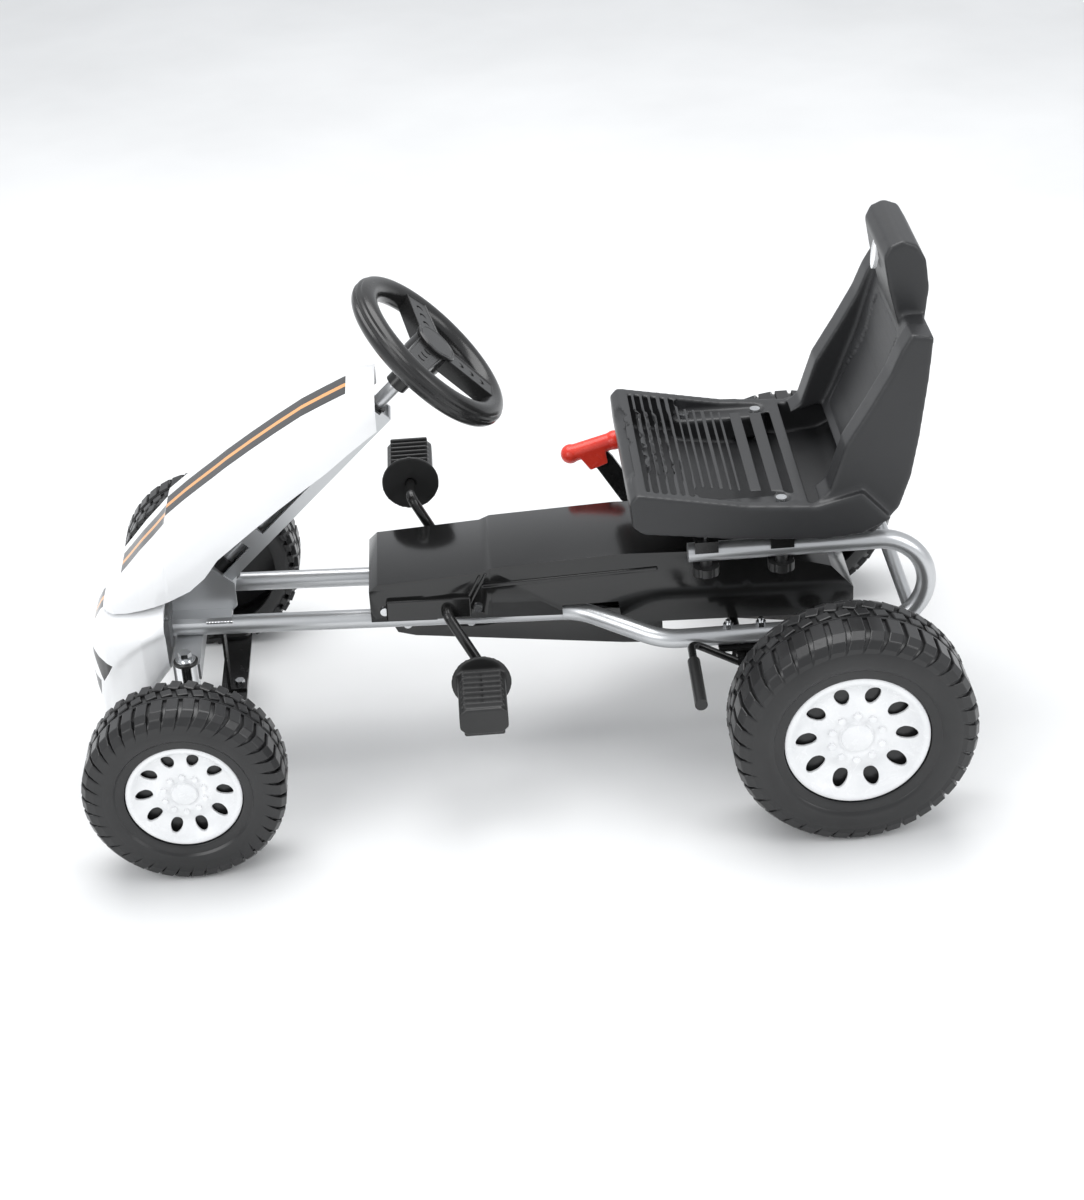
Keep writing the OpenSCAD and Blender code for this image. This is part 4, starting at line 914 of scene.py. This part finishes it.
def tube(name, points, radius):
    curve = bpy.data.curves.new(name, "CURVE")
    curve.dimensions = "3D"
    curve.bevel_depth = radius / 1000
    curve.bevel_resolution = 6
    curve.use_fill_caps = True
    spline = curve.splines.new("POLY")
    spline.points.add(len(points) - 1)
    for p, q in zip(spline.points, points):
        p.co = (*kart(*q), 1)
    o = bpy.data.objects.new(name, curve)
    bpy.context.scene.collection.objects.link(o)
    deselect()
    o.select_set(True)
    bpy.context.view_layer.objects.active = o
    bpy.ops.object.convert(target="MESH")
    return smooth(tidy_mesh(set_down(name)), 50)


TUBE_RADIUS, HOOP_RADIUS, HOOP_Y = 11, 55.5, 109.5
hoop = [(-52 - HOOP_RADIUS * math.sin(math.radians(a)), HOOP_Y,
         216.5 - HOOP_RADIUS * math.cos(math.radians(a))) for a in range(0, 181, 6)]
path = rounded([(744, 48, 188), (280, 48, 171), (190, HOOP_Y, 161), (-50, HOOP_Y, 161)], 70)
path = path[:-1] + [Vector(p) for p in hoop] + [Vector((160, HOOP_Y, 272))]
for side, name in ((1, "left"), (-1, "right")):
    o = tube("frame_tube_" + name, [(p.x, p.y * side, p.z) for p in path], TUBE_RADIUS)
    painted(o, silver)
    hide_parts(name + "_frame_tube")
    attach(o, "frame")
    print(o.name, "faces", len(o.data.polygons))

# %% [markdown]
# A weld is a row of small overlapping pools of metal. Each bead is modelled once as a
# flattened ball and copied along the joint, and the row is melted together by a remesh.

# %% Weld beads
def weld(name, start, end, size=2.6):
    start, end = kart(*start), kart(*end)
    count = max(3, int((end - start).length / (size * 0.0011)))
    deselect()
    bpy.ops.mesh.primitive_uv_sphere_add(segments=12, ring_count=8, radius=size / 1000)
    bead = set_down(name)
    row = [copy_of(bead, name, Matrix.Translation(start.lerp(end, i / (count - 1))))
           for i in range(count)]
    bpy.data.objects.remove(bead)
    o = joined(name, row)
    applied(o, "REMESH", mode="VOXEL", voxel_size=0.0008)
    for p in o.data.polygons:
        p.use_smooth = True
    painted(o, chrome)
    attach(o, "frame")


for side in (1, -1):
    tag = "left" if side > 0 else "right"
    weld("weld_bracket_" + tag, (676, side * 55, 193), (704, side * 55, 194))
    weld("weld_kingpin_" + tag, (718, side * 103, 178.5), (734, side * 103, 178.5))
print("welds made")

# %% [markdown]
# The brake's red handle is a short fat bar on a neck: a merged copy of its measured solid,
# melted together with a ball at each end and smoothed. The pedals are made the same way
# from their measured block and disc, with raised ribs across the treads.

# %% Handle and pedals
ends = []
for x, y, z in ((220, -148, 285.5), (273, -148, 271)):
    deselect()
    bpy.ops.mesh.primitive_uv_sphere_add(segments=24, ring_count=16, radius=0.0118,
                                         location=kart(x, y, z))
    ends.append(settle(set_down("knob")))
handle = painted(moulded("brake_handle", "brake_handle_grip", 1.0, 8, ends), red_plastic)
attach(handle, "brake")
print("handle faces", len(handle.data.polygons))
for side in ("left", "right"):
    lo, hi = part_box(side + "_pedal")
    mid = (lo + hi) / 2
    treads = []
    inner = 0.134 if side == "left" else -0.134
    outer = hi.y if side == "left" else lo.y
    for k in range(7):
        y = inner + (outer - inner) * (k + 0.6) / 7.4
        treads.append(block("tread", (46, 4, 44), Matrix.Translation((mid.x, y, mid.z)), 0.002))
    pedal = painted(moulded(side + "_pedal", "pedal_" + side, 1.6, 3, treads), nylon)
    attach(pedal, side + "_pedal")
    print(pedal.name, "faces", len(pedal.data.polygons), "box", [round(v, 3) for v in lo])

# %% [markdown]
# Every node of the measured model that is still shown gets its finish here. The tyres and
# hubcaps, which are all modelled again, need none.

# %% Finish of what the frame gave
FINISHES = {
    silver: ("left_frame_tube", "right_frame_tube", "front_beam", "mid_cross_tube",
             "rear_cross_tube", "front_cross_plate", "column_bracket", "column_strut",
             "left_axle_bracket", "right_axle_bracket", "steering_shaft"),
    chrome: ("kingpin_housings", "left_knuckle_bolts", "right_knuckle_bolts"),
    powder: ("left_brake_bracket", "right_brake_bracket", "drop_arm", "tie_rod",
             "tie_rod_upright", "left_knuckle", "right_knuckle", "crank", "brake_shaft",
             "brake_lever", "seat_saddles", "shaft_collar", "wheel_cap"),
    nylon: ("column_bushes", "kingpin_bushes", "axle_bushes", "crank_bushes", "brake_sleeve",
            "seat_knobs"),
    zinc: ("cover_screws", "frame_bolts", "hood_screws", "seat_bolts", "tie_rod_bolt",
           "axle_nuts"),
    steel: ("chain", "axle_sprocket", "crank_sprocket", "rear_axle"),
    cover_plastic: ("chain_cover", "chain_guard"),
    seat_plastic: ("seat",),
    grip_plastic: ("steering_wheel", "left_pedal", "right_pedal"),
    white_plastic: ("hood", "nose"),
    red_plastic: ("brake_handle",),
}
for material, names in FINISHES.items():
    for name in names:
        for s in nodes[name].material_slots:
            s.material = material
print("finishes on frame nodes:", sum(len(n) for n in FINISHES.values()))
